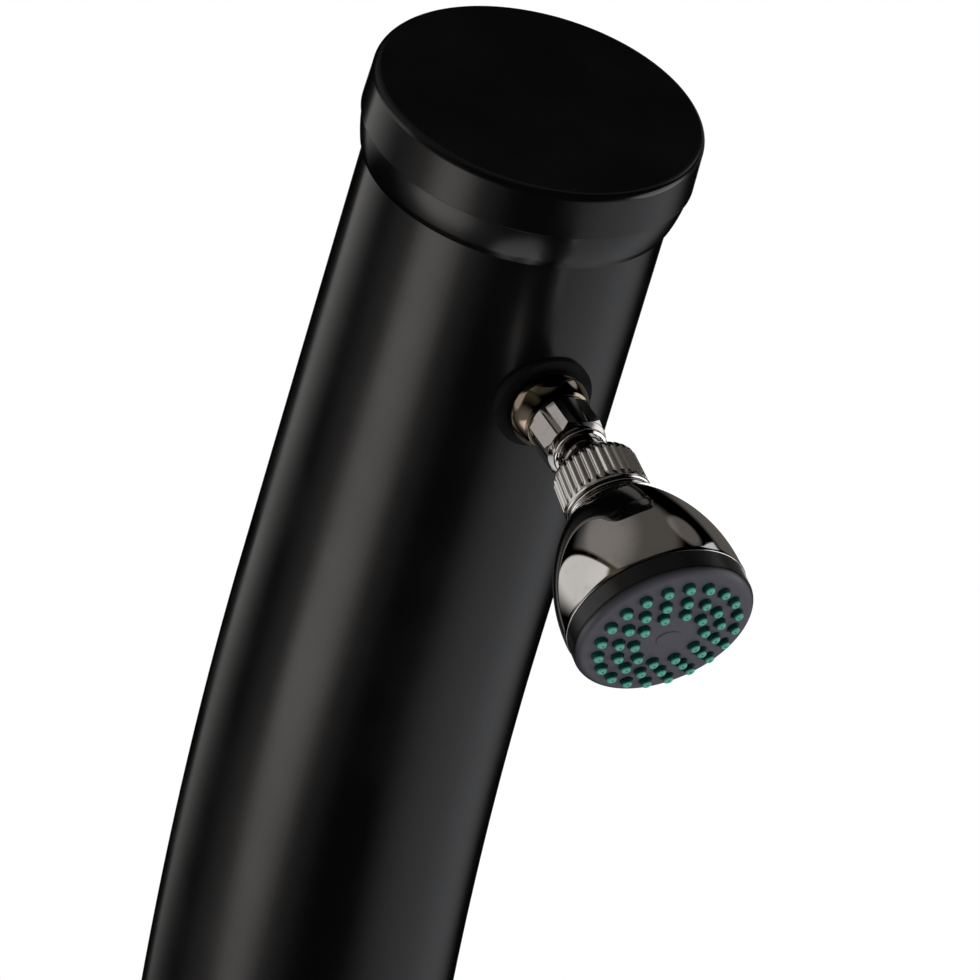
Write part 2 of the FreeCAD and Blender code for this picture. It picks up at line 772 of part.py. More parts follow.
def mixer_lever():
    """A ball-shaped hub that turns over the dome, with a paddle rising out of it."""
    body = new_body("mixer_lever", MIXER)
    outer = d.lever_ball_radius
    inner = outer - d.lever_ball_wall
    rim_out = 0.883 * outer
    rim_in = 0.883 * inner
    boss = 5.6
    boss_top = on_ball(inner, boss)
    pivot = d.mixer_pivot
    turn_profile(body, [
        (rim_in, pivot + on_ball(inner, rim_in)), (rim_out, pivot + on_ball(outer, rim_out), outer),
        (0, pivot + outer), (0, pivot + inner), (4.05, pivot + inner),
        (4.05, pivot + d.dome_radius - 1.6), (boss, pivot + d.dome_radius - 1.6),
        (boss, pivot + boss_top, -inner)])
    side = new_sketch(body, "YZ_Plane")
    outline(side, [
        (17, pivot + 16.5, -150.0), (d.lever_reach, pivot + 37.5),
        (d.lever_reach + 2, pivot + 43.5, 130.0), (4, pivot + outer - 0.6)])
    pad(body, side, d.lever_width, both_ways=True)
    round_edges(body, 2.4, lambda p: p.y > d.lever_reach.value - 70 and abs(p.x) > 9)
    recess = new_sketch(body, level=pivot + outer + 4)
    circle(recess, 0, 0, 5.1)
    pocket(body, recess, 6)
    screw_way = new_sketch(body, "XZ_Plane")
    circle(screw_way, 0, pivot + d.dome_radius, d.grub_radius + 0.1)
    pocket(body, screw_way, outer, back_way=True)

    turned("lever_index_plug", MIXER, [
        (0, pivot + outer - 2), (5, pivot + outer - 2), (5, pivot + outer - 0.4, crown(5, 0.8)),
        (0, pivot + outer + 0.4)])
    turned("lever_grub_screw", frame(0, -(pivot + d.dome_radius), d.mixer_height, 180), [
        (0, 4.2), (d.grub_radius, 4.2), (d.grub_radius, 11), (0, 11)])


# ---------------------------------------------------------------- foot tap

def foot_tap():
    seat = d.tube_radius + 1.8
    saddle_washer("foot_tap_washer", FOOT_TAP, d.tap_flange_radius + 1.5, d.shank_radius + 0.3, seat)
    hex_nut("foot_tap_backnut", FOOT_TAP, 1.5 * d.shank_radius, d.shank_radius,
            d.shank_end + 5, d.shank_end + 12)

    body = new_body("foot_tap_body", FOOT_TAP)
    chamber = 6.1
    chamber_floor = d.spout_reach + d.spout_radius + 0.5
    turn_profile(body, [
        (0, seat), (d.tap_flange_radius, seat), (d.tap_flange_radius, seat + 2, 2.0),
        (d.tap_flange_radius - 2, seat + 4), (d.tap_barrel_radius, seat + 5),
        (d.tap_barrel_radius, 97), (d.tap_barrel_radius - 2, 99),
        (d.tap_barrel_radius - 2, d.tap_mouth), (chamber, d.tap_mouth),
        (chamber, chamber_floor), (0, chamber_floor)])
    spout = new_sketch(body, "XZ_Plane")
    circle(spout, 0, d.spout_reach, d.spout_radius)
    pad(body, spout, d.spout_drop)
    spout_way = new_sketch(body, "XZ_Plane")
    circle(spout_way, 0, d.spout_reach, d.spout_radius - 2.5)
    pocket(body, spout_way, d.spout_drop, back_way=True)
    bored_shank(body, 0, 0, d.shank_radius, seat, chamber_floor)

    turned("foot_tap_outlet", frame(0, -d.spout_reach, d.foot_tap_height - d.spout_drop, 180), [
        (5.5, 0), (9.4, 0), (9.4, 7, 1.5), (7.9, 8.5), (5.5, 8.5)])

    stem = 3.5
    hub_low = d.tap_mouth + 0.6
    hub_high = d.tap_mouth + 15
    turned("foot_tap_spindle", FOOT_TAP, [
        (0, chamber_floor + 0.2), (chamber - 0.1, chamber_floor + 0.2),
        (chamber - 0.1, d.tap_mouth + 0.3), (stem, d.tap_mouth + 0.3),
        (stem, hub_high - 5), (2.05, hub_high - 5), (2.05, chamber_floor + 14),
        (0, chamber_floor + 14)])
    handle = new_body("foot_tap_handle", FOOT_TAP)
    turn_profile(handle, [
        (stem + 0.05, hub_low), (d.tap_hub_radius - 1, hub_low), (d.tap_hub_radius, hub_low + 1),
        (d.tap_hub_radius, hub_high - 4, 7.0), (d.tap_hub_radius - 5, hub_high),
        (4.2, hub_high), (4.2, hub_high - 3), (2.2, hub_high - 3),
        (2.2, hub_high - 4.8), (stem + 0.05, hub_high - 4.8)])
    blade = new_sketch(handle, level=hub_low + 4)
    outline(blade, [
        (6.5, 9), (4.5, d.tap_lever_reach, 5.0), (-4.5, d.tap_lever_reach), (-6.5, 9)])
    pad(handle, blade, 5.5)
    turned("foot_tap_screw", FOOT_TAP, [
        (0, hub_high - 14), (2, hub_high - 14), (2, hub_high - 2.9), (4, hub_high - 2.9),
        (4, hub_high - 1.5, crown(4, 0.9)), (0, hub_high - 0.6)])


# ---------------------------------------------------------------- hose inlet and drain

def hose_inlet():
    seat = d.tube_radius + 1.8
    hex_high = seat + 6
    way = 7.0
    saddle_washer("inlet_washer", INLET, 18, d.half_inch_radius + 0.3, seat)
    hex_nut("inlet_backnut", INLET, 1.48 * d.half_inch_radius, d.half_inch_radius,
            d.shank_end + 6, d.shank_end + 12)
    nipple = new_body("inlet_nipple", INLET)
    turn_profile(nipple, [
        (way, d.shank_end + 2), (d.half_inch_radius, d.shank_end + 2),
        (d.half_inch_radius, seat), (d.three_quarter_radius, seat),
        (d.three_quarter_radius, hex_high + d.inlet_stub - 1),
        (d.three_quarter_radius - 1, hex_high + d.inlet_stub),
        (way, hex_high + d.inlet_stub)])
    flats = new_sketch(nipple, level=seat)
    hexagon(flats, 1.25 * d.three_quarter_radius)
    circle(flats, 0, 0, d.three_quarter_radius - 1)
    pad(nipple, flats, hex_high - seat)
    turned("inlet_filter", INLET, [
        (0, hex_high + 4), (way - 0.1, hex_high + 4), (way - 0.1, hex_high + 14),
        (way - 1, hex_high + 14), (way - 1, hex_high + 5), (0, hex_high + 5)])

    tee = new_body("inlet_tee", INLET)
    socket = d.half_inch_radius + 0.1
    end = d.shank_end - 26
    turn_profile(tee, [
        (3, end - d.barb_length), (d.barb_radius, end - d.barb_length), (d.barb_radius, end),
        (9.5, end), (9.5, d.shank_end - 6), (socket + 2.6, d.shank_end - 6),
        (socket + 2.6, d.shank_end + 5.8), (socket, d.shank_end + 5.8),
        (socket, d.shank_end + 2), (way, d.shank_end + 2), (way, d.shank_end - 8),
        (3, d.shank_end - 8)])
    branch = new_sketch(tee, "XZ_Plane")
    circle(branch, 0, d.shank_end - 14, 7.5)
    pad(tee, branch, 20)
    tail = new_sketch(tee, "XZ_Plane")
    circle(tail, 0, d.shank_end - 14, d.barb_radius)
    pad(tee, tail, 20 + d.barb_length)
    bore = new_sketch(tee, "XZ_Plane")
    circle(bore, 0, d.shank_end - 14, 3)
    pocket(tee, bore, 20 + d.barb_length, back_way=True)


def drain():
    seat = d.tube_radius + 3.5
    body = new_body("drain_seat", DRAIN)
    back_level = 0.75 * d.tube_radius
    flange = new_sketch(body, level=back_level)
    circle(flange, 0, 0, 15)
    circle(flange, 0, 0, 7.2)
    pad(body, flange, seat - back_level)
    saddle_cut(body)
    shank = new_sketch(body, level=seat - 1)
    circle(shank, 0, 0, d.half_inch_radius)
    circle(shank, 0, 0, 7.2)
    pad(body, shank, seat - d.shank_end - 7, back_way=True)
    turned("drain_gasket", DRAIN, [(7.4, seat), (12, seat), (12, seat + 1.5), (7.4, seat + 1.5)])
    plug = new_body("drain_plug", DRAIN)
    turn_profile(plug, [
        (0, d.shank_end + 10), (6, d.shank_end + 10), (7, d.shank_end + 11), (7, seat + 1.5),
        (13, seat + 1.5), (13, seat + 9), (12, seat + 10), (0, seat + 10)])
    grip = new_sketch(plug, level=seat + 10)
    circle(grip, 15.4, 0, 3.6)
    scallop = pocket(plug, grip, 8.5)
    repeat_round(plug, [scallop], 8)


# ---------------------------------------------------------------- hoses inside the tank

def route_wire(points, bends):
    """Straight runs joined by tangent arcs, one arc of the given radius at each inner point."""
    edges = []
    start = points[0]
    for before, corner, after, bend in zip(points, points[1:], points[2:], bends):
        inward = (before - corner).normalize()
        onward = (after - corner).normalize()
        half = inward.getAngle(onward) / 2
        reach = bend / math.tan(half)
        first = corner + inward * reach
        last = corner + onward * reach
        split = (inward + onward).normalize()
        middle = corner + split * (bend / math.sin(half) - bend)
        edges.append(Part.LineSegment(start, first).toShape())
        edges.append(Part.Arc(first, middle, last).toShape())
        start = last
    edges.append(Part.LineSegment(start, points[-1]).toShape())
    return Part.Wire(edges)


def swept(wire, radius):
    start = wire.Edges[0].valueAt(wire.Edges[0].FirstParameter)
    way = wire.Edges[0].tangentAt(wire.Edges[0].FirstParameter)
    ring = Part.Wire(Part.Circle(start, way, radius).toShape())
    return wire.makePipeShell([ring], True, False)


def hose(label, points, bends):
    """A hose held inside the tank, with its bore."""
    wire = route_wire(points, bends)
    feature = doc.addObject("Part::Feature", label)
    feature.Label = label
    feature.Shape = swept(wire, d.hose_radius.value).cut(swept(wire, d.hose_bore.value))
    parts.append(feature)


def hose_point(x, y, z):
    return V(number(x), number(y), number(z))


def top_hose_point(x, drop, forward):
    y, z = top_point(drop, forward)
    return hose_point(x, y, z)


def bend_corner(x):
    """Where a hose's upright run and its run along the leaning top would meet."""
    half_lean = math.tan(math.radians(d.lean_angle.value / 2))
    return hose_point(x, -d.hose_leg, d.bend_start + (d.bend_radius - d.hose_leg) * half_lean)


def hoses():
    leg = -d.hose_leg
    turn = d.hose_bend.value
    wall = -d.shank_end
    big = (d.bend_radius - d.hose_leg).value
    hot, cold, outlet = ports()
    hot_z = d.mixer_height - hot[1]
    out_z = d.mixer_height - outlet[1]
    side = d.port_spread
    hose("hot_pickup_hose", [
        hose_point(side, wall, hot_z), hose_point(side, leg, hot_z), bend_corner(side),
        top_hose_point(side, d.cap_roof + 25, d.hose_leg)], [turn, big])
    hose("riser_hose", [
        hose_point(0, wall, out_z), hose_point(0, leg, out_z), bend_corner(0),
        top_hose_point(0, d.arm_drop, d.hose_leg), top_hose_point(0, d.arm_drop, d.shank_end)],
        [turn, big, turn])
    tee_y = d.shank_end - 14
    tee_top = d.inlet_height + 20
    hose("cold_feed_hose", [
        hose_point(-side, wall, hot_z), hose_point(-side, leg, hot_z),
        hose_point(-side, leg, 700), hose_point(0, tee_y, 420), hose_point(0, tee_y, tee_top)],
        [turn, 220, 220])
    hose("foot_feed_hose", [
        hose_point(0, d.shank_end - 26, d.inlet_height), hose_point(0, leg, d.inlet_height),
        hose_point(0, leg, d.foot_tap_height), hose_point(0, wall, d.foot_tap_height)],
        [turn - 2, turn - 2])

    inward = V(0, 1, 0)
    arm_in = V(0, math.cos(math.radians(d.lean_angle.value)), math.sin(math.radians(d.lean_angle.value)))
    ends = [
        (hose_point(side, wall, hot_z), inward), (hose_point(-side, wall, hot_z), inward),
        (hose_point(0, wall, out_z), inward), (hose_point(0, wall, d.foot_tap_height), inward),
        (top_hose_point(0, d.arm_drop, d.shank_end), arm_in),
        (hose_point(0, tee_y, tee_top), V(0, 0, 1)),
        (hose_point(0, d.shank_end - 26, d.inlet_height), V(0, -1, 0))]
    rings = []
    for end, way in ends:
        foot = end + way * 2
        inner = d.hose_radius.value + 0.05
        band = Part.makeCylinder(inner + d.clamp_wall.value, d.clamp_width.value, foot, way)
        rings.append(band.cut(Part.makeCylinder(inner, d.clamp_width.value, foot, way)))
    group("hose_clamps", rings)


# ---------------------------------------------------------------- shower arm

def shower_arm():
    seat = d.tube_radius + 1.5
    way = 7.0
    saddle_washer("arm_washer", ARM, d.arm_washer_radius, d.half_inch_radius + 0.3, seat)
    hex_nut("arm_backnut", ARM, 1.48 * d.half_inch_radius, d.half_inch_radius,
            d.shank_end + 6, d.shank_end + 12)
    turned("arm_nipple", ARM, [
        (way, d.shank_end + 2), (d.half_inch_radius, d.shank_end + 2), (d.half_inch_radius, seat),
        (d.nipple_radius - 1.2, seat, 1.5), (d.nipple_radius, seat + 1.6),
        (d.nipple_radius - 0.2, seat + 5, 22.0), (d.nipple_nose, d.nipple_front - 1),
        (d.nipple_nose - 1, d.nipple_front), (d.half_inch_radius + 0.1, d.nipple_front),
        (d.half_inch_radius + 0.1, seat + 3), (way, seat + 3)])
    turned("arm_hose_tail", ARM, [
        (3, d.shank_end - d.barb_length), (d.barb_radius, d.shank_end - d.barb_length),
        (d.barb_radius, d.shank_end), (8.5, d.shank_end), (8.5, d.shank_end + 2),
        (way - 0.1, d.shank_end + 2), (way - 0.1, d.shank_end + 12), (3, d.shank_end + 12)])


def ball_stud():
    """Threaded tail, spanner flats, neck and ball, bored through for the water."""
    body = new_body("ball_stud", ARM)
    centre = d.tube_radius + d.ball_reach
    way = 4.5
    nose = 6.8
    shoulder = d.hex_radius - 1.4
    turn_profile(body, [
        (way, d.tube_radius + 4.7), (d.half_inch_radius, d.tube_radius + 4.7),
        (d.half_inch_radius, d.nipple_front), (shoulder, d.nipple_front),
        (shoulder, d.hex_end), (shoulder - 2.6, d.hex_end + 1), (d.neck_radius, d.hex_end + 1),
        (d.neck_radius, centre - on_ball(d.ball_radius, d.neck_radius), d.ball_radius),
        (nose, centre + math.sqrt(d.ball_radius.value ** 2 - nose ** 2)),
        (way, centre + math.sqrt(d.ball_radius.value ** 2 - nose ** 2))])
    flats = new_sketch(body, level=d.hex_start)
    hexagon(flats, d.hex_radius)
    circle(flats, 0, 0, shoulder - 1)
    pad(body, flats, d.hex_end - d.hex_start)

    ring_low = d.hex_end + 1.2
    turned("neck_ring", ARM, [
        (d.neck_radius + 0.3, ring_low), (10.8, ring_low, 2.2), (10.8, ring_low + 3.4),
        (d.neck_radius + 0.3, ring_low + 3.4)])


# ---------------------------------------------------------------- shower head

def collar():
    """The knurled lock ring that holds the ball."""
    body = new_body("collar", HEAD)
    seat = d.ball_radius + 0.3
    mouth = d.collar_back - 0.4
    bore = d.neck_thread_radius + 0.3
    turn_profile(body, [
        (d.ball_radius + 0.1, -d.collar_back), (d.collar_top_radius - 3.6, -d.collar_back, 5.5),
        (d.collar_top_radius, 5.4 - d.collar_back), (d.collar_foot_radius - 0.3, d.collar_front - 2.1),
        (d.collar_foot_radius, d.collar_front - 1.7), (d.collar_foot_radius, d.collar_front - 0.4),
        (d.collar_foot_radius - 0.4, d.collar_front), (bore, d.collar_front), (bore, 1.8),
        (seat, 0.6), (seat, 0, -seat), (on_ball(seat, mouth), -mouth)])
    ring = new_sketch(body, level=-d.collar_back - 1)
    circle(ring, d.collar_top_radius + 0.35, 0, d.collar_groove)
    path = new_sketch(body, "XZ_Plane")
    ends = [
        (d.collar_top_radius + 0.35, -d.collar_back - 1),
        (d.collar_foot_radius + 0.25, d.collar_front - 2.5)]
    path.addGeometry(Part.LineSegment(*[V(number(r), number(z), 0) for r, z in ends]))
    pin(path, 0, 1, *ends[0])
    pin(path, 0, 2, *ends[1])
    groove = add_feature(body, "SubtractivePipe", ring)
    groove.Spine = (path, ["Edge1"])
    path.Visibility = False
    repeat_round(body, [groove], d.collar_ribs)


def ball_seal():
    inner = d.ball_radius + 0.15
    high = 4.5
    low = 10.8
    turned("ball_seal", HEAD, [
        (on_ball(inner, high), high), (d.ball_radius, high), (d.ball_radius, low),
        (on_ball(inner, low), low, -inner)])


def head_bell():
    """The chrome bell: threaded neck, thin lip and one long curve out to the rim."""
    throat = 6.2
    plug_bore = 35.6
    turned("head_bell", HEAD, [
        (d.ball_radius + 0.2, 2.2), (d.neck_thread_radius, 2.2),
        (d.neck_thread_radius, d.collar_front + 0.3),
        (d.bell_lip_radius - 0.3, d.collar_front + 0.3, 1.1), (d.bell_lip_radius - 0.3, d.bell_start - 0.7),
        (d.bell_lip_radius - 0.7, d.bell_start - 0.4),
        (d.bell_lip_radius + 0.5, d.bell_start + 0.2, d.bell_curve),
        (d.bell_radius, d.bell_rim), (plug_bore, d.bell_rim), (plug_bore, 58.9, d.bell_wall - d.bell_curve),
        (15.2, 21.2), (throat, 15.2), (throat, 11.1), (d.ball_radius + 0.2, 11.1)])


def flow_restrictor():
    body = turned("flow_restrictor", HEAD, [(0, 12.8), (6.1, 12.8), (6.1, 14.8), (0, 14.8)])
    hole = new_sketch(body, level=14.8)
    circle(hole, 3.6, 0, 0.9)
    drilling = pocket(body, hole, 2)
    repeat_round(body, [drilling], 6)


def water_guide():
    body = turned("water_guide", HEAD, [
        (0, 69.4), (32.7, 69.4), (32.7, 75.1), (31.1, 75.1), (31.1, 71.4), (0, 71.4)])
    hole = new_sketch(body, level=71.4)
    circle(hole, 21, 0, 3.2)
    drilling = pocket(body, hole, 2)
    repeat_round(body, [drilling], 10)


def ring_of_nozzles(body, ring_name, count, first_angle, draw):
    """Draws one nozzle feature at the ring's first place and repeats it round the ring."""
    radius = getattr(d, ring_name)
    angle = math.radians(first_angle)
    features = draw(radius * math.cos(angle), radius * math.sin(angle))
    repeat_round(body, features, count)


def face_plate():
    """The dark face: a plug skirt, a rounded band and a flat front with the nozzle holes."""
    body = new_body("face_plate", HEAD)
    skirt = 33.0
    plug = 35.4
    turn_profile(body, [
        (skirt, 59.4), (plug, 59.4), (plug, 63.2), (plug - 1.4, 63.2), (plug - 1.4, 65.6),
        (plug, 65.6), (plug, d.bell_rim + 0.2), (d.bell_radius - 0.2, d.bell_rim + 0.2),
        (d.bell_radius - 0.2, 75, 24.0), (d.face_radius + 0.2, d.face_level - 0.6, 0.7),
        (d.face_radius - 0.4, d.face_level), (0, d.face_level), (0, d.face_level - 3),
        (skirt, d.face_level - 3)])

    def hole(x, y):
        sketch = new_sketch(body, level=d.face_level)
        circle(sketch, x, y, d.nozzle_radius + 0.15)
        return [pocket(body, sketch, 3)]

    for ring_name, count, first_angle in NOZZLE_RINGS:
        ring_of_nozzles(body, ring_name, count, first_angle, hole)

    oval = new_sketch(body, level=d.face_level)
    oval.addGeometry(Part.Ellipse(V(8.0, 0, 0), V(0, 4.6, 0), V(0, 0, 0)))
    pad(body, oval, 0.5)

    seal = doc.addObject("Part::Torus", "face_seal")
    seal.Label = "face_seal"
    bind(seal, "Radius1", d.bell_radius - 2.92)
    seal.Radius2 = 0.75
    turn = FreeCAD.Rotation(V(1, 0, 0), 90 + d.head_angle.value)
    middle = hose_point(0, BALL_Y, BALL_Z) + turn.multVec(V(0, 0, 64.4))
    seal.Placement = FreeCAD.Placement(middle, turn)
    parts.append(seal)


def nozzle_mat():
    """One silicone mat whose nozzles come out through the face."""
    body = turned("nozzle_mat", HEAD, [
        (0, 75.2), (32.8, 75.2), (32.8, d.face_level - 3.1), (0, d.face_level - 3.1)])

    def nozzle(x, y):
        foot = new_sketch(body, level=d.face_level - 3.1)
        circle(foot, x, y, d.nozzle_radius)
        horn = pad(body, foot, d.nozzle_tip - d.face_level + 3.1, taper=-4)
        bore = new_sketch(body, level=d.nozzle_tip)
        circle(bore, x, y, d.nozzle_bore)
        return [horn, pocket(body, bore, d.nozzle_tip - 75.2)]

    for ring_name, count, first_angle in NOZZLE_RINGS:
        ring_of_nozzles(body, ring_name, count, first_angle, nozzle)


# ---------------------------------------------------------------- whole post

base_foot()
socket_screws()
lower_tube()
lower_end_plug()
coupling()
upper_tube()
top_cap()
mixer_fixings()
mixer_body()
mixer_cartridge()
mixer_dome()
mixer_stem()
mixer_lever()
foot_tap()
hose_inlet()
drain()
hoses()
shower_arm()
ball_stud()
ball_seal()
collar()
head_bell()
flow_restrictor()
water_guide()
face_plate()
nozzle_mat()

doc.recompute()
for item in doc.Objects:
    if "Invalid" in item.State or "Error" in item.State:
        raise RuntimeError(f"{item.Label} failed: {item.State}")
for part in parts:
    if part.Shape.isNull() or not part.Shape.isValid():
        raise RuntimeError(f"{part.Label} has no valid shape")

os.makedirs("parts", exist_ok=True)
for part in parts:
    part.Shape.exportStep(f"parts/{part.Label}.step")
    print(f"{part.Label:22s} {len(part.Shape.Solids)} solids {part.Shape.Volume / 1000:9.2f} cm3")
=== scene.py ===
"""Outdoor shower post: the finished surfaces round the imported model.

The tank is a black tube that leans forward, with a moulded cap, a ball-jointed shower head, a
mixer, a foot tap, a hose inlet and a drain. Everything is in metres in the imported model's frame;
profiles are written in millimetres, in the frame of the fitting that they belong to.
"""
import json
import math

import bmesh
import bpy
from bpy.props import FloatProperty, FloatVectorProperty, IntProperty, PointerProperty
from mathutils import Matrix, Vector


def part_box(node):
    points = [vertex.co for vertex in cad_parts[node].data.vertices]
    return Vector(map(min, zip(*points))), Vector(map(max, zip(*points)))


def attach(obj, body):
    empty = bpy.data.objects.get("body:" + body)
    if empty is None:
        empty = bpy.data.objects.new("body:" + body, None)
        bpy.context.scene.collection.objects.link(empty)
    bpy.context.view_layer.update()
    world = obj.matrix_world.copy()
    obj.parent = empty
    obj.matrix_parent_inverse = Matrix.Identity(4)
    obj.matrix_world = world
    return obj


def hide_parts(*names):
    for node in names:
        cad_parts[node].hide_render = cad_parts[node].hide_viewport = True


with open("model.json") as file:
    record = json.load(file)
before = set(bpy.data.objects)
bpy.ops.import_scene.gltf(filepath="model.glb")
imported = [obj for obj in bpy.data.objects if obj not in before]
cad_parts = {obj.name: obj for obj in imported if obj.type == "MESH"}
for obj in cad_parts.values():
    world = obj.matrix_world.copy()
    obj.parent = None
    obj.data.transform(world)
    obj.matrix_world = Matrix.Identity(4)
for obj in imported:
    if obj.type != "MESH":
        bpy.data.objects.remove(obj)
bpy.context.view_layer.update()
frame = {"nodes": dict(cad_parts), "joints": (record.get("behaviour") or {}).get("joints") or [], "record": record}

bl_info = {
    "name": "Outdoor shower post",
    "version": (1, 0, 0),
    "blender": (4, 5, 0),
    "location": "View3D > Sidebar > Shower post",
    "description": "Builds the visible pieces, finishes and stage of an outdoor shower post",
    "category": "Object",
}

MM = 0.001


# ---------------------------------------------------------------- settings

class PostSizes(bpy.types.PropertyGroup):
    """Sizes of the visible pieces that a user would change."""

    tube_radius: FloatProperty(
        name="Tube radius", description="Outer radius of the tank tube",
        default=0.0625, unit="LENGTH")
    tube_wall: FloatProperty(
        name="Tube wall", description="Wall of the tank tube", default=0.003, unit="LENGTH")
    bend_radius: FloatProperty(
        name="Bend radius", description="Radius of the tube's long bend",
        default=1.1, unit="LENGTH")
    bend_start: FloatProperty(
        name="Bend start", description="Height at which the bend starts",
        default=1.37, unit="LENGTH")
    joint_height: FloatProperty(
        name="Coupling height", description="Height at which the two tube lengths meet",
        default=1.0, unit="LENGTH")
    arm_drop: FloatProperty(
        name="Arm drop", description="From the cap's top down the tube to the arm",
        default=0.1015, unit="LENGTH")
    ball_reach: FloatProperty(
        name="Ball reach", description="From the tube's axis along the arm to the ball",
        default=0.111, unit="LENGTH")
    collar_ribs: IntProperty(
        name="Collar ribs", description="Ribs round the lock collar", default=32, min=3)
    collar_groove: FloatProperty(
        name="Collar groove", description="Depth of the grooves between the ribs",
        default=0.000992, unit="LENGTH")
    nozzle_height: FloatProperty(
        name="Nozzle height", description="How far a nozzle stands out of the face",
        default=0.0027, unit="LENGTH")


class PostColours(bpy.types.PropertyGroup):
    """Colours of the finishes."""

    tube: FloatVectorProperty(
        name="Tube", description="Black of the tank tube and its cap", subtype="COLOR",
        default=(0.0024, 0.0024, 0.0027))
    moulding: FloatVectorProperty(
        name="Mouldings", description="Black of the foot and the coupling", subtype="COLOR",
        default=(0.012, 0.012, 0.013))
    chrome: FloatVectorProperty(
        name="Chrome", description="Tint of the plating", subtype="COLOR",
        default=(0.62, 0.60, 0.585))
    face: FloatVectorProperty(
        name="Shower face", description="Blue-black of the shower face", subtype="COLOR",
        default=(0.062, 0.062, 0.078))
    nozzles: FloatVectorProperty(
        name="Nozzles", description="Teal of the silicone nozzles", subtype="COLOR",
        default=(0.0, 0.16, 0.12))
    # The paler teal below is painted light on the nozzle tips.
    nozzle_tip_light: FloatVectorProperty(
        name="Nozzle tips", description="Paler teal of the thin nozzle tips", subtype="COLOR",
        default=(0.10, 0.42, 0.34))
    rubber: FloatVectorProperty(
        name="Seals", description="Black of the seals and washers", subtype="COLOR",
        default=(0.004, 0.004, 0.004))
    brass: FloatVectorProperty(
        name="Brass", description="Turned brass inside the fittings", subtype="COLOR",
        default=(0.66, 0.44, 0.18))


def sizes():
    return bpy.context.scene.post_sizes


def colour_of(name):
    return tuple(getattr(bpy.context.scene.post_colours, name))


# ---------------------------------------------------------------- frames of the fittings

def joint(name):
    return next(row for row in frame["joints"] if row["name"] == name)


def mount(name):
    return next(row for row in frame["record"]["mounts"] if row["name"] == name)


def middle_of(node):
    low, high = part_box(node)
    return (low + high) / 2


def fitting(origin, way):
    """The frame of a fitting in the plane of the bend. Its own Z runs that way."""
    turn = math.atan2(-way[1], way[2])
    return Matrix.Translation(origin) @ Matrix.Rotation(turn, 4, "X")


BALL = Vector(joint("arm_swivel")["pos_m"])
ARM_WAY = Vector(joint("arm_swivel")["axis"])
HEAD_WAY = Vector(joint("head_spin")["axis"])
LEAN_WAY = Vector((0, ARM_WAY.z, -ARM_WAY.y))
FORWARD = Vector((0, -1, 0))
BACKWARD = Vector((0, 1, 0))


def upright():
    return Matrix.Identity(4)


def arm():
    return fitting(BALL - ARM_WAY * sizes().ball_reach, ARM_WAY)


def head():
    return fitting(BALL, HEAD_WAY)


def cap():
    return fitting(arm().translation + LEAN_WAY * sizes().arm_drop, LEAN_WAY)


def coupling():
    return Matrix.Translation((0, 0, sizes().joint_height))


def mixer():
    return fitting((0, 0, joint("mixer_turn")["pos_m"][2]), FORWARD)


def foot_tap():
    return fitting((0, 0, joint("foot_tap_turn")["pos_m"][2]), FORWARD)


def inlet():
    return fitting((0, 0, mount("hose_inlet")["pos_m"][2]), BACKWARD)


def drain():
    return fitting((0, 0, middle_of("drain_plug").z), BACKWARD)


# ---------------------------------------------------------------- profiles

ROUND_STEPS = 4
MOST_OF_A_SIDE = 0.49
ON_AXIS = 1e-6


def arc_points(start, finish, radius, steps):
    """The inner points of an arc. A positive radius bulges to the right of the way it is drawn."""
    chord = finish - start
    side = Vector((chord.y, -chord.x)).normalized() * math.copysign(1, radius)
    depth = math.sqrt(max(radius * radius - chord.length_squared / 4, 0))
    centre = (start + finish) / 2 - side * depth
    half = math.asin(min(chord.length / 2 / abs(radius), 1))
    first = start - centre
    turn = 2 * half * math.copysign(1, radius)
    points = []
    for step in range(1, steps):
        angle = turn * step / steps
        c, s = math.cos(angle), math.sin(angle)
        points.append(centre + Vector((first.x * c - first.y * s, first.x * s + first.y * c)))
    return points


def rounded_corner(before, corner, after, radius):
    """The points of a corner once it is rounded."""
    inward = (before - corner).normalized()
    onward = (after - corner).normalized()
    half = inward.angle(onward) / 2
    room = MOST_OF_A_SIDE * min((before - corner).length, (after - corner).length)
    reach = min(radius / math.tan(half), room)
    radius = reach * math.tan(half)
    first, last = corner + inward * reach, corner + onward * reach
    side = inward.x * onward.y - inward.y * onward.x
    bulge = radius if side < 0 else -radius
    return [first, *arc_points(first, last, bulge, ROUND_STEPS), last]


def outline(corners, arc_steps):
    """All the points of a closed outline, in mm.

    A corner is its radius and its height, then a rounding, then the radius of an arc that leaves
    it. Where there is no arc, or neither, they are left out.
    """
    full = [(Vector(corner[:2]), *corner[2:], *[0] * (4 - len(corner))) for corner in corners]
    points = []
    for index, (point, rounding, arc) in enumerate(full):
        after = full[(index + 1) % len(full)][0]
        if rounding:
            points += rounded_corner(full[index - 1][0], point, after, rounding)
        else:
            points.append(point)
        if arc:
            points += arc_points(point, after, arc, arc_steps)
    return points


def round_points(x_reach, y_reach, count):
    """Points evenly round an oval: a polygon's corners where there are few."""
    turns = [math.radians(360 * step / count) for step in range(count)]
    return [(x_reach * math.cos(turn), y_reach * math.sin(turn)) for turn in turns]


def split_run(start, finish, steps):
    """Corners at even steps along a straight run, both ends included."""
    return [tuple(first + (last - first) * step / steps for first, last in zip(start, finish))
            for step in range(steps + 1)]


# ---------------------------------------------------------------- meshes

WELD_REACH = 2e-6
FLAT_ANGLE = math.radians(0.4)


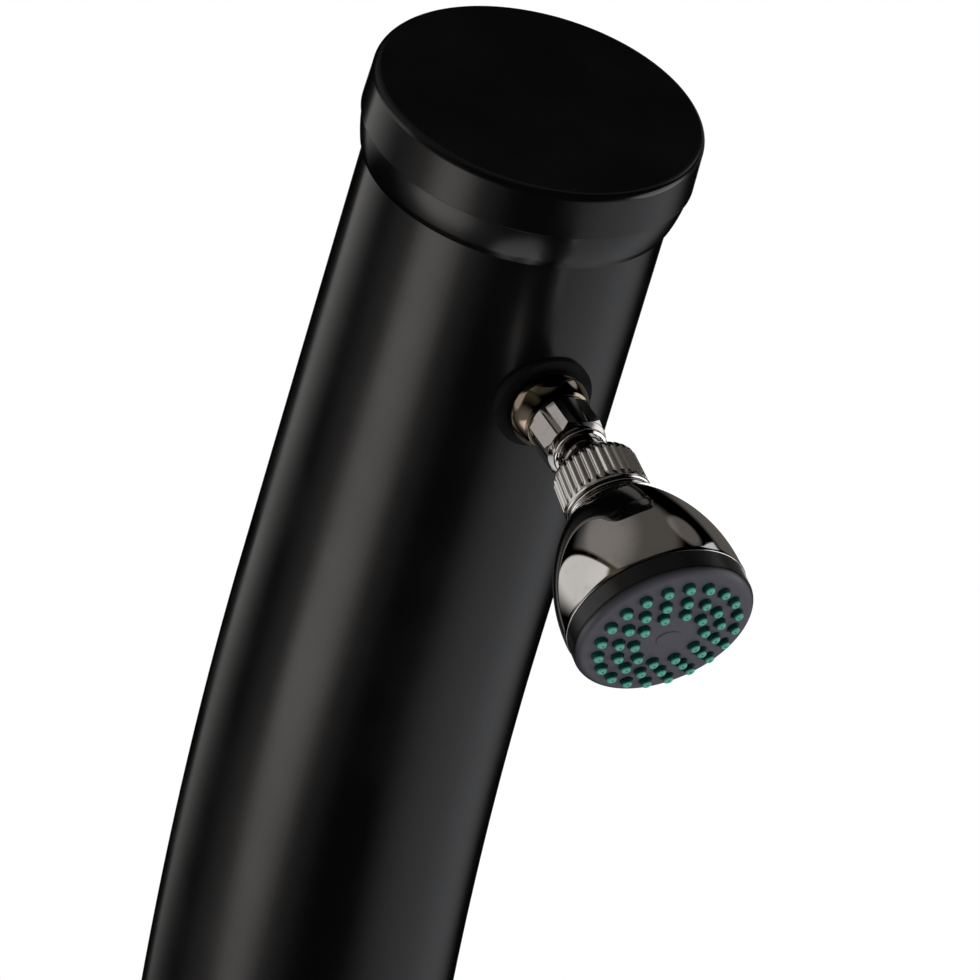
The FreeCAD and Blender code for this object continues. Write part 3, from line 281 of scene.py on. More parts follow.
def lathe(corners, segments=128, arc_steps=24):
    """Turns an outline about Z into one closed mesh, in metres in the fitting's frame."""
    bm = bmesh.new()
    rings = []
    for point in outline(corners, arc_steps):
        if point.x < ON_AXIS:
            rings.append([bm.verts.new((0, 0, point.y * MM))])
            continue
        ring = []
        for step in range(segments):
            angle = 2 * math.pi * step / segments
            ring.append(bm.verts.new((
                point.x * MM * math.cos(angle), point.x * MM * math.sin(angle), point.y * MM)))
        rings.append(ring)
    for ring, following in zip(rings, rings[1:] + rings[:1]):
        if len(ring) == 1 and len(following) == 1:
            continue
        for step in range(segments):
            turn = (step + 1) % segments
            if len(ring) == 1:
                bm.faces.new((ring[0], following[step], following[turn]))
            elif len(following) == 1:
                bm.faces.new((ring[step], following[0], ring[turn]))
            else:
                bm.faces.new((ring[step], following[step], following[turn], ring[turn]))
    return to_mesh(bm)


def prism(points, low, high):
    """A straight-sided block on a flat outline in mm, from one height to another."""
    bm = bmesh.new()
    floor = [bm.verts.new((x * MM, y * MM, low * MM)) for x, y in points]
    roof = [bm.verts.new((x * MM, y * MM, high * MM)) for x, y in points]
    bm.faces.new(list(reversed(floor)))
    bm.faces.new(roof)
    for index in range(len(points)):
        following = (index + 1) % len(points)
        bm.faces.new((floor[index], floor[following], roof[following], roof[index]))
    return to_mesh(bm)


def to_mesh(bm):
    bmesh.ops.recalc_face_normals(bm, faces=bm.faces)
    mesh = bpy.data.meshes.new("made")
    bm.to_mesh(mesh)
    bm.free()
    return mesh


def placed(name, data):
    """A new object in the scene."""
    thing = bpy.data.objects.new(name, data)
    bpy.context.scene.collection.objects.link(thing)
    return thing


def baked(thing):
    """The plain mesh that an object's modifiers make. The object goes."""
    graph = bpy.context.evaluated_depsgraph_get()
    result = bpy.data.meshes.new_from_object(thing.evaluated_get(graph), depsgraph=graph)
    thing.modifiers.clear()
    bpy.data.objects.remove(thing)
    return result


def worked(mesh, kind, settings):
    """Runs a modifier on a mesh and gives the plain mesh that comes out."""
    thing = placed(mesh.name, mesh)
    modifier = thing.modifiers.new(kind.lower(), kind)
    for key, value in settings.items():
        setattr(modifier, key, value)
    return baked(thing)


def bevelled(mesh, width, angle, segments=3):
    """Rounds the edges that turn by more than an angle in degrees. The width is in mm."""
    return worked(mesh, "BEVEL", {
        "width": width * MM, "segments": segments, "limit_method": "ANGLE",
        "angle_limit": math.radians(angle), "use_clamp_overlap": True})


def cut(mesh, operation, tool_mesh):
    """One exact boolean between two closed meshes."""
    tool = placed("tool", tool_mesh)
    result = worked(mesh, "BOOLEAN", {"operation": operation, "object": tool, "solver": "EXACT"})
    bpy.data.objects.remove(tool)
    return result


def copy_of(node):
    """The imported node's own mesh, joined up and with its flat faces made whole."""
    bm = bmesh.new()
    bm.from_mesh(frame["nodes"][node].data)
    bmesh.ops.remove_doubles(bm, verts=bm.verts, dist=WELD_REACH)
    bmesh.ops.dissolve_limit(bm, angle_limit=FLAT_ANGLE, verts=bm.verts, edges=bm.edges)
    return to_mesh(bm)


def piece(name, mesh, place, body, look, nodes, sharp=40):
    """Stands a finished mesh in the post: its place goes into the mesh."""
    mesh.transform(place)
    mesh.materials.clear()
    mesh.materials.append(finish(look))
    mesh.shade_smooth()
    mesh.set_sharp_from_angle(angle=math.radians(sharp))
    mesh.name = name
    thing = placed(name, mesh)
    weighted = thing.modifiers.new("flat_faces", "WEIGHTED_NORMAL")
    weighted.keep_sharp = True
    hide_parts(*nodes)
    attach(thing, body)


def slot_of(node):
    rows = frame["record"]["subparts"]
    return next(row["material_slot"] for row in rows if row["node"] == node)


# ---------------------------------------------------------------- nodes

class Nodes:
    """A node tree in the making."""

    def __init__(self, tree):
        self.tree = tree

    def feed(self, socket, source):
        """Joins a socket to another one or writes its value. None leaves it as it is."""
        if isinstance(source, bpy.types.NodeSocket):
            self.tree.links.new(source, socket)
        elif source is not None:
            socket.default_value = source

    def node(self, kind, *sources, **settings):
        """Adds a node with its settings. The sources feed its first sockets."""
        made = self.tree.nodes.new(kind)
        for key, value in settings.items():
            setattr(made, key, value)
        for index, source in enumerate(sources):
            self.feed(made.inputs[index], source)
        return made

    def math(self, operation, *sources):
        return self.node("ShaderNodeMath", *sources, operation=operation).outputs[0]

    def ramp(self, value, low, high, to_low=0.0, to_high=1.0, smooth=True):
        """Takes a value from one range to another, and holds it at the ends."""
        return self.node("ShaderNodeMapRange", value, low, high, to_low, to_high,
                         interpolation_type="SMOOTHSTEP" if smooth else "LINEAR").outputs[0]


class Tree(Nodes):
    """A geometry node tree with named inputs, built from the top down."""

    def __init__(self, name):
        super().__init__(bpy.data.node_groups.new(name, "GeometryNodeTree"))
        for side in ("OUTPUT", "INPUT"):
            self.tree.interface.new_socket(
                "Geometry", in_out=side, socket_type="NodeSocketGeometry")
        self.inputs = self.node("NodeGroupInput")
        self.geometry = self.inputs.outputs["Geometry"]

    def ask(self, kind, *names):
        """Named inputs of one kind."""
        for name in names:
            self.tree.interface.new_socket(name, in_out="INPUT", socket_type=f"NodeSocket{kind}")
        return [self.inputs.outputs[name] for name in names]

    def close(self, geometry):
        """Ends the tree in real geometry with its material."""
        material, = self.ask("Material", "Material")
        real = self.node("GeometryNodeRealizeInstances", geometry)
        painted = self.node("GeometryNodeSetMaterial", real.outputs[0])
        self.feed(painted.inputs["Material"], material)
        self.node("NodeGroupOutput", painted.outputs[0])
        return self.tree


def grown(tree, values, base):
    """Runs a tree on a mesh and gives the plain mesh that comes out."""
    thing = placed("grown", base)
    modifier = thing.modifiers.new("tree", "NODES")
    modifier.node_group = tree
    for item in tree.interface.items_tree:
        if item.item_type == "SOCKET" and item.in_out == "INPUT" and item.name in values:
            modifier[item.identifier] = values[item.name]
    return baked(thing)


def tube_tree():
    """A pipe along a path: an outer wall, and the same wall moved in and turned inside out."""
    t = Tree("pipe_along_path")
    radius, wall = t.ask("Float", "Radius", "Wall")
    sides, = t.ask("Int", "Sides")
    ring = t.node("GeometryNodeCurvePrimitiveCircle", sides, None, None, None, radius)
    seen = t.node("GeometryNodeCaptureAttribute", ring.outputs[0])
    seen.capture_items.new("VECTOR", "round")
    t.feed(seen.inputs[1], t.node("GeometryNodeInputPosition").outputs[0])
    line = t.node("GeometryNodeMeshToCurve", t.geometry)
    path = t.node("GeometryNodeCaptureAttribute", line.outputs[0])
    path.capture_items.new("FLOAT", "along")
    t.feed(path.inputs[1], t.node("GeometryNodeSplineParameter").outputs["Length"])
    outer = t.node("GeometryNodeCurveToMesh", path.outputs[0], seen.outputs[0])
    inner = t.node("GeometryNodeExtrudeMesh", outer.outputs[0], mode="FACES")
    inner.inputs["Individual"].default_value = False
    t.feed(inner.inputs["Offset Scale"], t.math("MULTIPLY", wall, -1.0))
    turned = t.node("GeometryNodeFlipFaces", inner.outputs[0])
    both = t.node("GeometryNodeJoinGeometry", turned.outputs[0])
    t.feed(both.inputs[0], outer.outputs[0])
    shell = t.node("GeometryNodeMergeByDistance", both.outputs[0])
    shell.inputs["Distance"].default_value = 1e-6
    parts = t.node("ShaderNodeSeparateXYZ", seen.outputs[1])
    straight = t.node("ShaderNodeCombineXYZ", parts.outputs[0], parts.outputs[1], path.outputs[1])
    kept = t.node("GeometryNodeStoreNamedAttribute", shell.outputs[0], data_type="FLOAT_VECTOR")
    kept.inputs["Name"].default_value = "straight_place"
    t.feed(kept.inputs["Value"], straight.outputs[0])
    return t.close(kept.outputs[0])


def carving_tree(name, groove_of, smooth):
    """Carves a groove into a turned piece, between two heights and outside a least radius."""
    t = Tree(name)
    depth, low, high, fade, least = t.ask("Float", "Depth", "From", "To", "Fade", "Least Radius")
    place = t.node("GeometryNodeInputPosition").outputs[0]
    x, y, z = t.node("ShaderNodeSeparateXYZ", place).outputs
    groove = groove_of(t, t.math("ARCTAN2", y, x), z)
    start = t.ramp(z, low, t.math("ADD", low, fade), smooth=smooth)
    end = t.ramp(z, t.math("SUBTRACT", high, fade), high, 1.0, 0.0, smooth)
    across = t.math("SQRT", t.math("ADD", t.math("MULTIPLY", x, x), t.math("MULTIPLY", y, y)))
    outside = t.math("GREATER_THAN", across, least)
    where = t.math("MULTIPLY", t.math("MULTIPLY", start, end), outside)
    amount = t.math("MULTIPLY", t.math("MULTIPLY", groove, where), t.math("MULTIPLY", depth, -1.0))
    flat = t.node("ShaderNodeCombineXYZ", x, y, 0.0)
    way = t.node("ShaderNodeVectorMath", flat.outputs[0], operation="NORMALIZE")
    move = t.node("ShaderNodeVectorMath", way.outputs[0], operation="SCALE")
    t.feed(move.inputs["Scale"], amount)
    moved = t.node("GeometryNodeSetPosition", t.geometry)
    t.feed(moved.inputs["Offset"], move.outputs[0])
    return t.close(moved.outputs[0])


def rib_groove(t, angle, height):
    """Grooves along the axis, evenly round it. A higher sharpness makes them narrower."""
    count, = t.ask("Int", "Ribs")
    sharpness, = t.ask("Float", "Sharpness")
    wave = t.math("COSINE", t.math("MULTIPLY", angle, count))
    return t.math("POWER", t.math("MULTIPLY_ADD", wave, 0.5, 0.5), sharpness)


def thread_groove(t, angle, height):
    """A right-hand thread with slightly flattened crests and roots."""
    pitch, = t.ask("Float", "Pitch")
    turn = t.math("DIVIDE", angle, 2 * math.pi)
    phase = t.math("SUBTRACT", t.math("DIVIDE", height, pitch), turn)
    return t.ramp(t.math("PINGPONG", phase, 0.5), 0.06, 0.44, smooth=False)


def ribbed_tree():
    return carving_tree("ribs_round_axis", rib_groove, True)


def thread_tree():
    return carving_tree("thread_round_axis", thread_groove, False)


def ring_tree():
    """Copies of a mesh evenly round the axis, each turned to face outwards."""
    t = Tree("copies_round_axis")
    count, = t.ask("Int", "Count")
    radius, first = t.ask("Float", "Ring Radius", "First Angle")
    step = t.math("DIVIDE", 2 * math.pi, count)
    index = t.node("GeometryNodeInputIndex")
    angle = t.math("MULTIPLY_ADD", index.outputs[0], step, first)
    points = t.node("GeometryNodePoints", count)
    x = t.math("MULTIPLY", radius, t.math("COSINE", angle))
    y = t.math("MULTIPLY", radius, t.math("SINE", angle))
    t.feed(points.inputs["Position"], t.node("ShaderNodeCombineXYZ", x, y, 0.0).outputs[0])
    copies = t.node("GeometryNodeInstanceOnPoints", points.outputs[0])
    t.feed(copies.inputs["Instance"], t.geometry)
    turn = t.node("ShaderNodeCombineXYZ", 0.0, 0.0, angle)
    t.feed(copies.inputs["Rotation"], turn.outputs[0])
    return t.close(copies.outputs[0])


# ---------------------------------------------------------------- finishes

class Finish(Nodes):
    """A material in the making: one shader and the nodes that feed it."""

    def __init__(self, name, colour, roughness=0.5, metallic=0.0, ior=1.45):
        self.material = bpy.data.materials.new(name)
        self.material.use_nodes = True
        super().__init__(self.material.node_tree)
        self.shader = self.tree.nodes["Principled BSDF"]
        self.put("Base Color", (*colour, 1))
        self.put("Roughness", roughness)
        self.put("Metallic", metallic)
        self.put("IOR", ior)
        self.place = self.node("ShaderNodeTexCoord").outputs["Object"]

    def put(self, name, source):
        """Sets or feeds one input of the shader."""
        self.feed(self.shader.inputs[name], source)

    def noise(self, scale, detail=3.0, stretch=None, place=None):
        """A noise value over the piece. Stretch scales its axes."""
        place = place or self.place
        if stretch:
            place = self.node("ShaderNodeMapping", place, None, None, stretch).outputs[0]
        made = self.node("ShaderNodeTexNoise", place)
        made.inputs["Scale"].default_value = scale
        made.inputs["Detail"].default_value = detail
        return made.outputs[0]

    def mix(self, factor, first, second):
        """Blends two colours, each written out or taken from a socket."""
        made = self.node("ShaderNodeMix", factor, data_type="RGBA")
        for index, colour in ((6, first), (7, second)):
            self.feed(made.inputs[index], (*colour, 1) if isinstance(colour, tuple) else colour)
        return made.outputs[2]

    def attribute(self, name, output="Fac"):
        return self.node("ShaderNodeAttribute", attribute_name=name).outputs[output]

    def bump(self, height, distance, strength=1.0):
        """Adds a layer of relief, distance in metres, over what is there."""
        made = self.node("ShaderNodeBump")
        made.inputs["Strength"].default_value = strength
        made.inputs["Distance"].default_value = distance
        self.feed(made.inputs["Height"], height)
        before = self.shader.inputs["Normal"]
        if before.is_linked:
            self.feed(made.inputs["Normal"], before.links[0].from_socket)
        self.put("Normal", made.outputs[0])


def scaled(colour, factor):
    return tuple(min(channel * factor, 1.0) for channel in colour)


def tube_plastic(follows_tube):
    """Extruded black tube: faint draw lines along it, a soft mottle and a little dust."""
    base = colour_of("tube")
    finish = Finish("tube_plastic" if follows_tube else "cap_plastic", base)
    place = finish.attribute("straight_place", "Vector") if follows_tube else None
    lines = finish.noise(420, 4, (1, 1, 0.012) if follows_tube else None, place)
    mottle = finish.noise(24, 3, None, place)
    grain = finish.noise(900, 2, None, place)
    finish.put("Roughness", finish.ramp(mottle, 0.3, 0.7, 0.17, 0.23))
    dust = finish.ramp(grain, 0.62, 0.75)
    finish.put("Base Color", finish.mix(dust, base, scaled(base, 2.2)))
    finish.bump(lines, 0.00004, 0.35 if follows_tube else 0.15)
    finish.bump(mottle, 0.0006, 0.05)
    return finish.material


def chrome_plate(name="chrome_plate", dulled=0.0, shade_tint=(1, 1, 1)):
    """Polished plating with a slight ripple, hairline scratches and a few water marks."""
    # Factors below one make a darker copy of the plating: painted shade that dims its reflections.
    base = tuple(channel * share for channel, share in zip(colour_of("chrome"), shade_tint))
    finish = Finish(name, base, metallic=1.0)
    ripple = finish.noise(60, 2)
    hairs = finish.noise(900, 3, (1, 0.06, 1))
    marks = finish.noise(180, 5)
    finish.put("Roughness", finish.math(
        "ADD", finish.ramp(marks, 0.55, 0.75, 0.035 + dulled, 0.09 + dulled),
        finish.ramp(hairs, 0.62, 0.8, 0, 0.06)))
    finish.put("Base Color", finish.mix(finish.ramp(marks, 0.55, 0.8), base, scaled(base, 0.88)))
    finish.bump(ripple, 0.0004, 0.03)
    return finish.material


def face_plastic():
    """Satin blue-black moulding of the shower face. The rim behind it is glossier and painted near-black as
    painted shade, fading over its rounded edge.
    """
    base = colour_of("face")
    finish = Finish("face_plastic", base)
    band = finish.attribute("band")
    grain = finish.noise(2200, 2)
    cloud = finish.noise(70, 3)
    satin = finish.mix(cloud, scaled(base, 0.94), scaled(base, 1.1))
    # Painted shade: the rim behind the face turns near-black.
    finish.put("Base Color", finish.mix(band, satin, scaled(base, 0.05)))
    finish.put("Roughness", finish.ramp(
        finish.math("SUBTRACT", cloud, band), -1, 1, 0.12, 0.62, smooth=False))
    finish.bump(grain, 0.00003, 0.4)
    return finish.material


def teal_silicone():
    """Teal silicone, darkened along the nozzle sides as painted shade and made pale at the tip as painted light.
    """
    base = colour_of("nozzles")
    finish = Finish("teal_silicone", base, ior=1.41)
    # Painted shade: the body shows only a fifth to a third of the teal. Painted light: the tip end turns pale.
    tip = finish.ramp(finish.attribute("stands_out"), 0.6, 0.98)
    cloud = finish.noise(500, 2)
    body = finish.mix(cloud, scaled(base, 0.18), scaled(base, 0.3))
    finish.put("Base Color", finish.mix(tip, body, colour_of("nozzle_tip_light")))
    finish.put("Roughness", finish.ramp(cloud, 0.3, 0.7, 0.26, 0.4))
    finish.put("Subsurface Weight", 0.15)
    finish.put("Subsurface Radius", (0.0004, 0.0012, 0.001))
    finish.bump(finish.noise(1800, 2), 0.00003, 0.3)
    return finish.material


def grained(name, base, shades, rough, cloud, grain, relief, metallic=0.0, specular=0.5):
    """A plain finish: cloudy in colour and gloss, under a fine grain."""
    finish = Finish(name, base, metallic=metallic)
    haze = finish.noise(*cloud)
    finish.put("Base Color", finish.mix(haze, scaled(base, shades[0]), scaled(base, shades[1])))
    finish.put("Roughness", finish.ramp(haze, 0.3, 0.7, *rough))
    finish.put("Specular IOR Level", specular)
    finish.bump(finish.noise(*grain), *relief)
    return finish.material


def moulded_plastic(name, base, roughness=0.42):
    """Moulded plastic with a fine grain."""
    return grained(name, base, (1, 1.5), (roughness - 0.06, roughness + 0.08), (30, 4),
                   (1500, 3), (0.00006, 0.5))


def metal(name, base, rough, stretch):
    """Turned or drawn metal with fine tool lines."""
    return grained(name, base, (0.85, 1), rough, (90, 3), (1200, 3, stretch), (0.00003, 0.4),
                   metallic=1.0)


def hose_plastic():
    """Reinforced hose: a braid shows faintly through the wall."""
    base = (0.09, 0.09, 0.1)
    finish = Finish("hose_plastic", base)
    braid = finish.noise(700, 1, (1, 1, 0.25))
    finish.put("Base Color", finish.mix(finish.ramp(braid, 0.45, 0.6), base, scaled(base, 1.8)))
    finish.put("Roughness", finish.ramp(braid, 0.4, 0.6, 0.4, 0.55))
    finish.bump(braid, 0.0001, 0.3)
    return finish.material


MAKERS = {
    "tube": lambda: tube_plastic(True),
    "cap": lambda: tube_plastic(False),
    "coupling": lambda: moulded_plastic("coupling_plastic", colour_of("moulding")),
    "foot": lambda: moulded_plastic("foot_plastic", colour_of("moulding"), 0.48),
    "chrome": chrome_plate,
    "collar": lambda: chrome_plate("collar_plate", 0.1),
    # The nipple's and the ball stud's platings are darker, warmer copies of the chrome: painted shade that dims
    # their reflections.
    "arm": lambda: chrome_plate("arm_plate", 0.03, (0.42, 0.36, 0.29)),
    "stud": lambda: chrome_plate("stud_plate", 0.02, (0.6, 0.58, 0.57)),
    "face": face_plastic,
    "silicone": teal_silicone,
    "rubber": lambda: grained(
        "black_rubber", colour_of("rubber"), (1, 1.8), (0.6, 0.8), (120, 5), (1600, 3),
        (0.00008, 0.5), specular=0.15),
    "brass": lambda: metal("turned_brass", colour_of("brass"), (0.22, 0.34), (1, 1, 0.05)),
    "steel": lambda: metal("stainless_steel", (0.56, 0.55, 0.54), (0.2, 0.32), (1, 0.1, 1)),
    "white": lambda: grained(
        "white_plastic", (0.62, 0.61, 0.56), (0.92, 1), (0.35, 0.48), (120, 3), (1400, 2),
        (0.00004, 0.3)),
    "index": lambda: moulded_plastic("index_plastic", (0.14, 0.15, 0.17), 0.3),
    "hose": hose_plastic,
}

SLOT_FINISH = {
    "black_tube": "tube", "coupling_plastic": "coupling", "foot_plastic": "foot",
    "seal_rubber": "rubber", "chrome": "chrome", "brass": "brass", "steel": "steel",
    "cartridge_plastic": "white", "index_plastic": "index", "hose_plastic": "hose",
    "face_plastic": "face", "nozzle_silicone": "silicone",
}
made_finishes = {}


def finish(name):
    """The finish of that name, made the first time that it is asked for."""
    if name not in made_finishes:
        made_finishes[name] = MAKERS[name]()
    return made_finishes[name]


# ---------------------------------------------------------------- tank

def tube_length(name, node, path):
    """One length of the tank tube along its path."""
    line = bpy.data.meshes.new("path")
    line.from_pydata(path, [(index, index + 1) for index in range(len(path) - 1)], [])
    values = {"Radius": sizes().tube_radius, "Wall": sizes().tube_wall, "Sides": 160,
              "Material": finish("tube")}
    mesh = grown(tube_tree(), values, line)
    piece(name, mesh, upright(), "post", "tube", [node])


class POST_OT_tank(bpy.types.Operator):
    """Makes the straight lower tube and the bent upper tube of the tank"""
    bl_idname = "post.tank"
    bl_label = "Tank tube"

    def execute(self, context):
        s = sizes()
        steps = 60
        cap_roof = 4 * MM
        lean = math.atan2(-LEAN_WAY.y, LEAN_WAY.z)
        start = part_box("upper_tube")[0].z
        path = [Vector((0, 0, start))]
        for step in range(steps + 1):
            angle = lean * step / steps
            path.append(Vector((0, s.bend_radius * (math.cos(angle) - 1),
                                s.bend_start + s.bend_radius * math.sin(angle))))
        path.append(cap().translation - LEAN_WAY * cap_roof)
        tube_length("upper_tube_skin", "upper_tube", path)
        low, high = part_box("lower_tube")
        tube_length("lower_tube_skin", "lower_tube",
                    [Vector((0, 0, low.z)), Vector((0, 0, high.z))])
        return {"FINISHED"}


class POST_OT_top_cap(bpy.types.Operator):
    """Makes the moulded cap on the leaning end of the tank"""
    bl_idname = "post.top_cap"
    bl_label = "Top cap"

    def execute(self, context):
        gap = 0.1
        bore = sizes().tube_radius / MM + gap
        mesh = lathe([
            (bore, -37), (63.4, -37, 0.3), (64.7, -34, 0, 60), (67.2, -20.1), (68.0, -20.0, 0.35),
            (67.6, -3, 0, 3), (64.6, 0), (0, 0), (0, -4), (bore, -4)], segments=192)
        piece("top_cap_shell", mesh, cap(), "post", "cap", ["top_cap"], 30)
        return {"FINISHED"}


# ---------------------------------------------------------------- shower arm

class POST_OT_arm(bpy.types.Operator):
    """Makes the nipple, the ball stud with its spanner flats and the neck ring"""
    bl_idname = "post.arm"
    bl_label = "Shower arm"

    def execute(self, context):
        nipple = lathe([
            (7, 46), (10.4, 46), (10.4, 64), (15.6, 64, 0, 1.5), (16.8, 65.6), (16.6, 69, 0, 22),
            (14.2, 75.8, 0.5), (13.2, 76.8, 0.4), (10.5, 76.8), (10.5, 67), (7, 67)])
        piece("arm_sleeve", nipple, arm(), "post", "arm", ["arm_nipple"], 30)

        centre = sizes().ball_reach / MM
        ball = 12.5
        neck = 8.6
        nose = 6.8
        stud = lathe([
            (4.5, 67.3), (10.3, 67.3), (10.3, 76.9), (12.7, 76.9, 0.3), (12.7, 94.0, 0.4),
            (10.2, 95.0, 0.4), (neck, 95.2),
            (neck, centre - math.sqrt(ball ** 2 - neck ** 2), 0, ball),
            (nose, centre + math.sqrt(ball ** 2 - nose ** 2)),
            (4.5, centre + math.sqrt(ball ** 2 - nose ** 2))], arc_steps=48)
        low, high = 78.4, 94.0
        flats = prism(round_points(14.2, 14.2, 6), low, high)
        chamfer = lathe([
            (0, low), (12.9, low), (14.4, low + 1.1), (14.4, high - 1.1), (12.9, high), (0, high)])
        flats = bevelled(cut(flats, "INTERSECT", chamfer), 0.25, 25)
        stud = cut(stud, "UNION", flats)
        piece("ball_stud_body", stud, arm(), "post", "stud", ["ball_stud"], 30)

        ring = lathe([
            (8.9, 95.3), (10.3, 95.3, 0.3), (11.1, 96.0, 0, 1.8), (11.1, 98.1), (10.2, 98.6, 0.3),
            (8.9, 98.6)])
        piece("neck_ring_body", ring, arm(), "arm_swivel", "chrome", ["neck_ring"], 30)
        return {"FINISHED"}


# ---------------------------------------------------------------- shower head

class POST_OT_collar(bpy.types.Operator):
    """Makes the ribbed lock collar"""
    bl_idname = "post.collar"
    bl_label = "Lock collar"

    def execute(self, context):
        seat = 12.8
        mouth = 3.8
        side = split_run((17.4, 1.2), (17.95, 14.3), 16)
        mesh = lathe([
            (12.6, -4.2), (13.6, -4.2, 0.3), (13.9, -4.15, 0, 5.5), *side, (18.1, 14.9, 0.3),
            (18.1, 16.0, 0.5), (17.6, 16.5, 0.2), (14.6, 16.5), (14.6, 1.8), (seat, 0.6),
            (seat, 0, 0, -seat), (math.sqrt(seat ** 2 - mouth ** 2), -mouth)],
            segments=640, arc_steps=12)
        mesh = grown(ribbed_tree(), {
            "Ribs": sizes().collar_ribs, "Depth": sizes().collar_groove,
            "From": -4.0 * MM, "To": 14.6 * MM, "Fade": 3.2 * MM, "Least Radius": 14.7 * MM,
            "Sharpness": 1.4, "Material": finish("collar")}, mesh)
        piece("collar_body", mesh, head(), "lock_collar", "collar", ["collar"], 50)
        return {"FINISHED"}


class POST_OT_head(bpy.types.Operator):
    """Makes the chrome bell and the dark face with its nozzle holes"""
    bl_idname = "post.head"
    bl_label = "Shower head"

    def execute(self, context):
        bell = lathe([
            (12.7, 2.2), (14.3, 2.2), (14.3, 16.8), (17.3, 16.8, 0, 1.1), (17.3, 18.0),
            (16.9, 18.3), (18.1, 18.9, 0, 68), (37.7, 69.6, 0.3), (35.6, 69.6),
            (35.6, 58.9, 0, -65.8), (15.2, 21.2), (6.2, 15.2), (6.2, 11.1), (12.7, 11.1)],
            segments=256, arc_steps=64)
        piece("bell_shell", bell, head(), "head", "chrome", ["head_bell"], 30)

        face = lathe([
            (33.0, 59.4), (35.4, 59.4), (35.4, 63.2), (34.0, 63.2), (34.0, 65.6), (35.4, 65.6),
            (35.4, 69.8), (37.3, 69.8, 0.2), (37.4, 76.9, 0, 4.4),
            (FACE_EDGE, FACE_LEVEL, 0, FACE_DOME), (0, dome(0)), (0, 77.7), (33.0, 77.7)],
            segments=256, arc_steps=16)
        socket = lathe([
            (0, 73), (2.45, 73), (2.45, FACE_LEVEL - 0.5), (2.75, FACE_LEVEL - 0.5),
            (3.05, FACE_LEVEL + 0.6), (0, FACE_LEVEL + 0.6)], segments=32)
        face = cut(face, "DIFFERENCE", joined(rings_of(socket, finish("face"))))
        boss = prism(round_points(5.6, 4.4, 72), dome(0) - 0.8, dome(0) + 0.3)
        face = cut(face, "UNION", bevelled(boss, 0.25, 60))
        # Painted shade on the rim behind the face: full below this height, fading out over the rounded edge.
        shade_band_top, shade_band_fade = 80.4, 3.0
        marked(face, "band", lambda radius, height: (
            min(max((shade_band_top - height) / shade_band_fade, 0), 1)))
        piece("face_body", face, head(), "head", "face", ["face_plate"], 25)
        return {"FINISHED"}


FACE_EDGE = 33.4
FACE_LEVEL = 80.7
FACE_DOME = 193.0
NOZZLE_RINGS = [
    # nozzles in the ring, its radius in mm, angle of the first nozzle
    (20, 29.0, 3.7),
    (15, 21.4, 18.6),
    (10, 14.8, 12.5),
]


def dome(radius):
    """The height of the slightly domed face at a distance from the axis, in mm."""
    return FACE_LEVEL + math.sqrt(FACE_DOME ** 2 - radius ** 2) - math.sqrt(
        FACE_DOME ** 2 - FACE_EDGE ** 2)


def rings_of(mesh, material):
    """A copy of a mesh at every nozzle's place on the domed face, one mesh for each ring."""
    tree = ring_tree()
    rings = []
    for count, radius, first in NOZZLE_RINGS:
        ring = grown(tree, {
            "Count": count, "Ring Radius": radius * MM, "First Angle": math.radians(first),
            "Material": material}, mesh.copy())
        ring.transform(Matrix.Translation((0, 0, (dome(radius) - FACE_LEVEL) * MM)))
        rings.append(ring)
    return rings


def marked(mesh, name, rule):
    """Writes a number on every vertex, by its distance from the axis and its height in mm."""
    layer = mesh.attributes.new(name, "FLOAT", "POINT")
    for vertex, row in zip(mesh.vertices, layer.data):
        place = vertex.co / MM
        row.value = rule(math.hypot(place.x, place.y), place.z)


class POST_OT_nozzles(bpy.types.Operator):
    """Makes the silicone mat and its three rings of nozzles"""
    bl_idname = "post.nozzles"
    bl_label = "Nozzles"

    def execute(self, context):
        tip = FACE_LEVEL + sizes().nozzle_height / MM
        mat = lathe([
            (0, 75.2), (32.8, 75.2), (32.8, 77.6), (0, 77.6)], segments=96)
        nozzle = lathe([
            (0, 75.2), (2.3, 75.2), (2.3, FACE_LEVEL + 0.3), (2.1, tip - 0.9, 0, 1.3), (1.1, tip),
            (0.5, tip, 0.1), (0.4, tip - 0.5), (0, tip - 0.5)], segments=32, arc_steps=6)
        mesh = joined([mat, *rings_of(nozzle, finish("silicone"))])
        # This height share places the painted shade on the nozzle sides and the painted light on the tips.
        marked(mesh, "stands_out", lambda radius, height: (
            (height - dome(radius)) / (tip - FACE_LEVEL)))
        piece("nozzle_mat_body", mesh, head(), "head", "silicone", ["nozzle_mat"], 30)
        return {"FINISHED"}


def joined(meshes):
    """Several closed meshes as one."""
    bm = bmesh.new()
    for mesh in meshes:
        bm.from_mesh(mesh)
    mesh = bpy.data.meshes.new("joined")
    bm.to_mesh(mesh)
    bm.free()
    return mesh


# ---------------------------------------------------------------- coupling

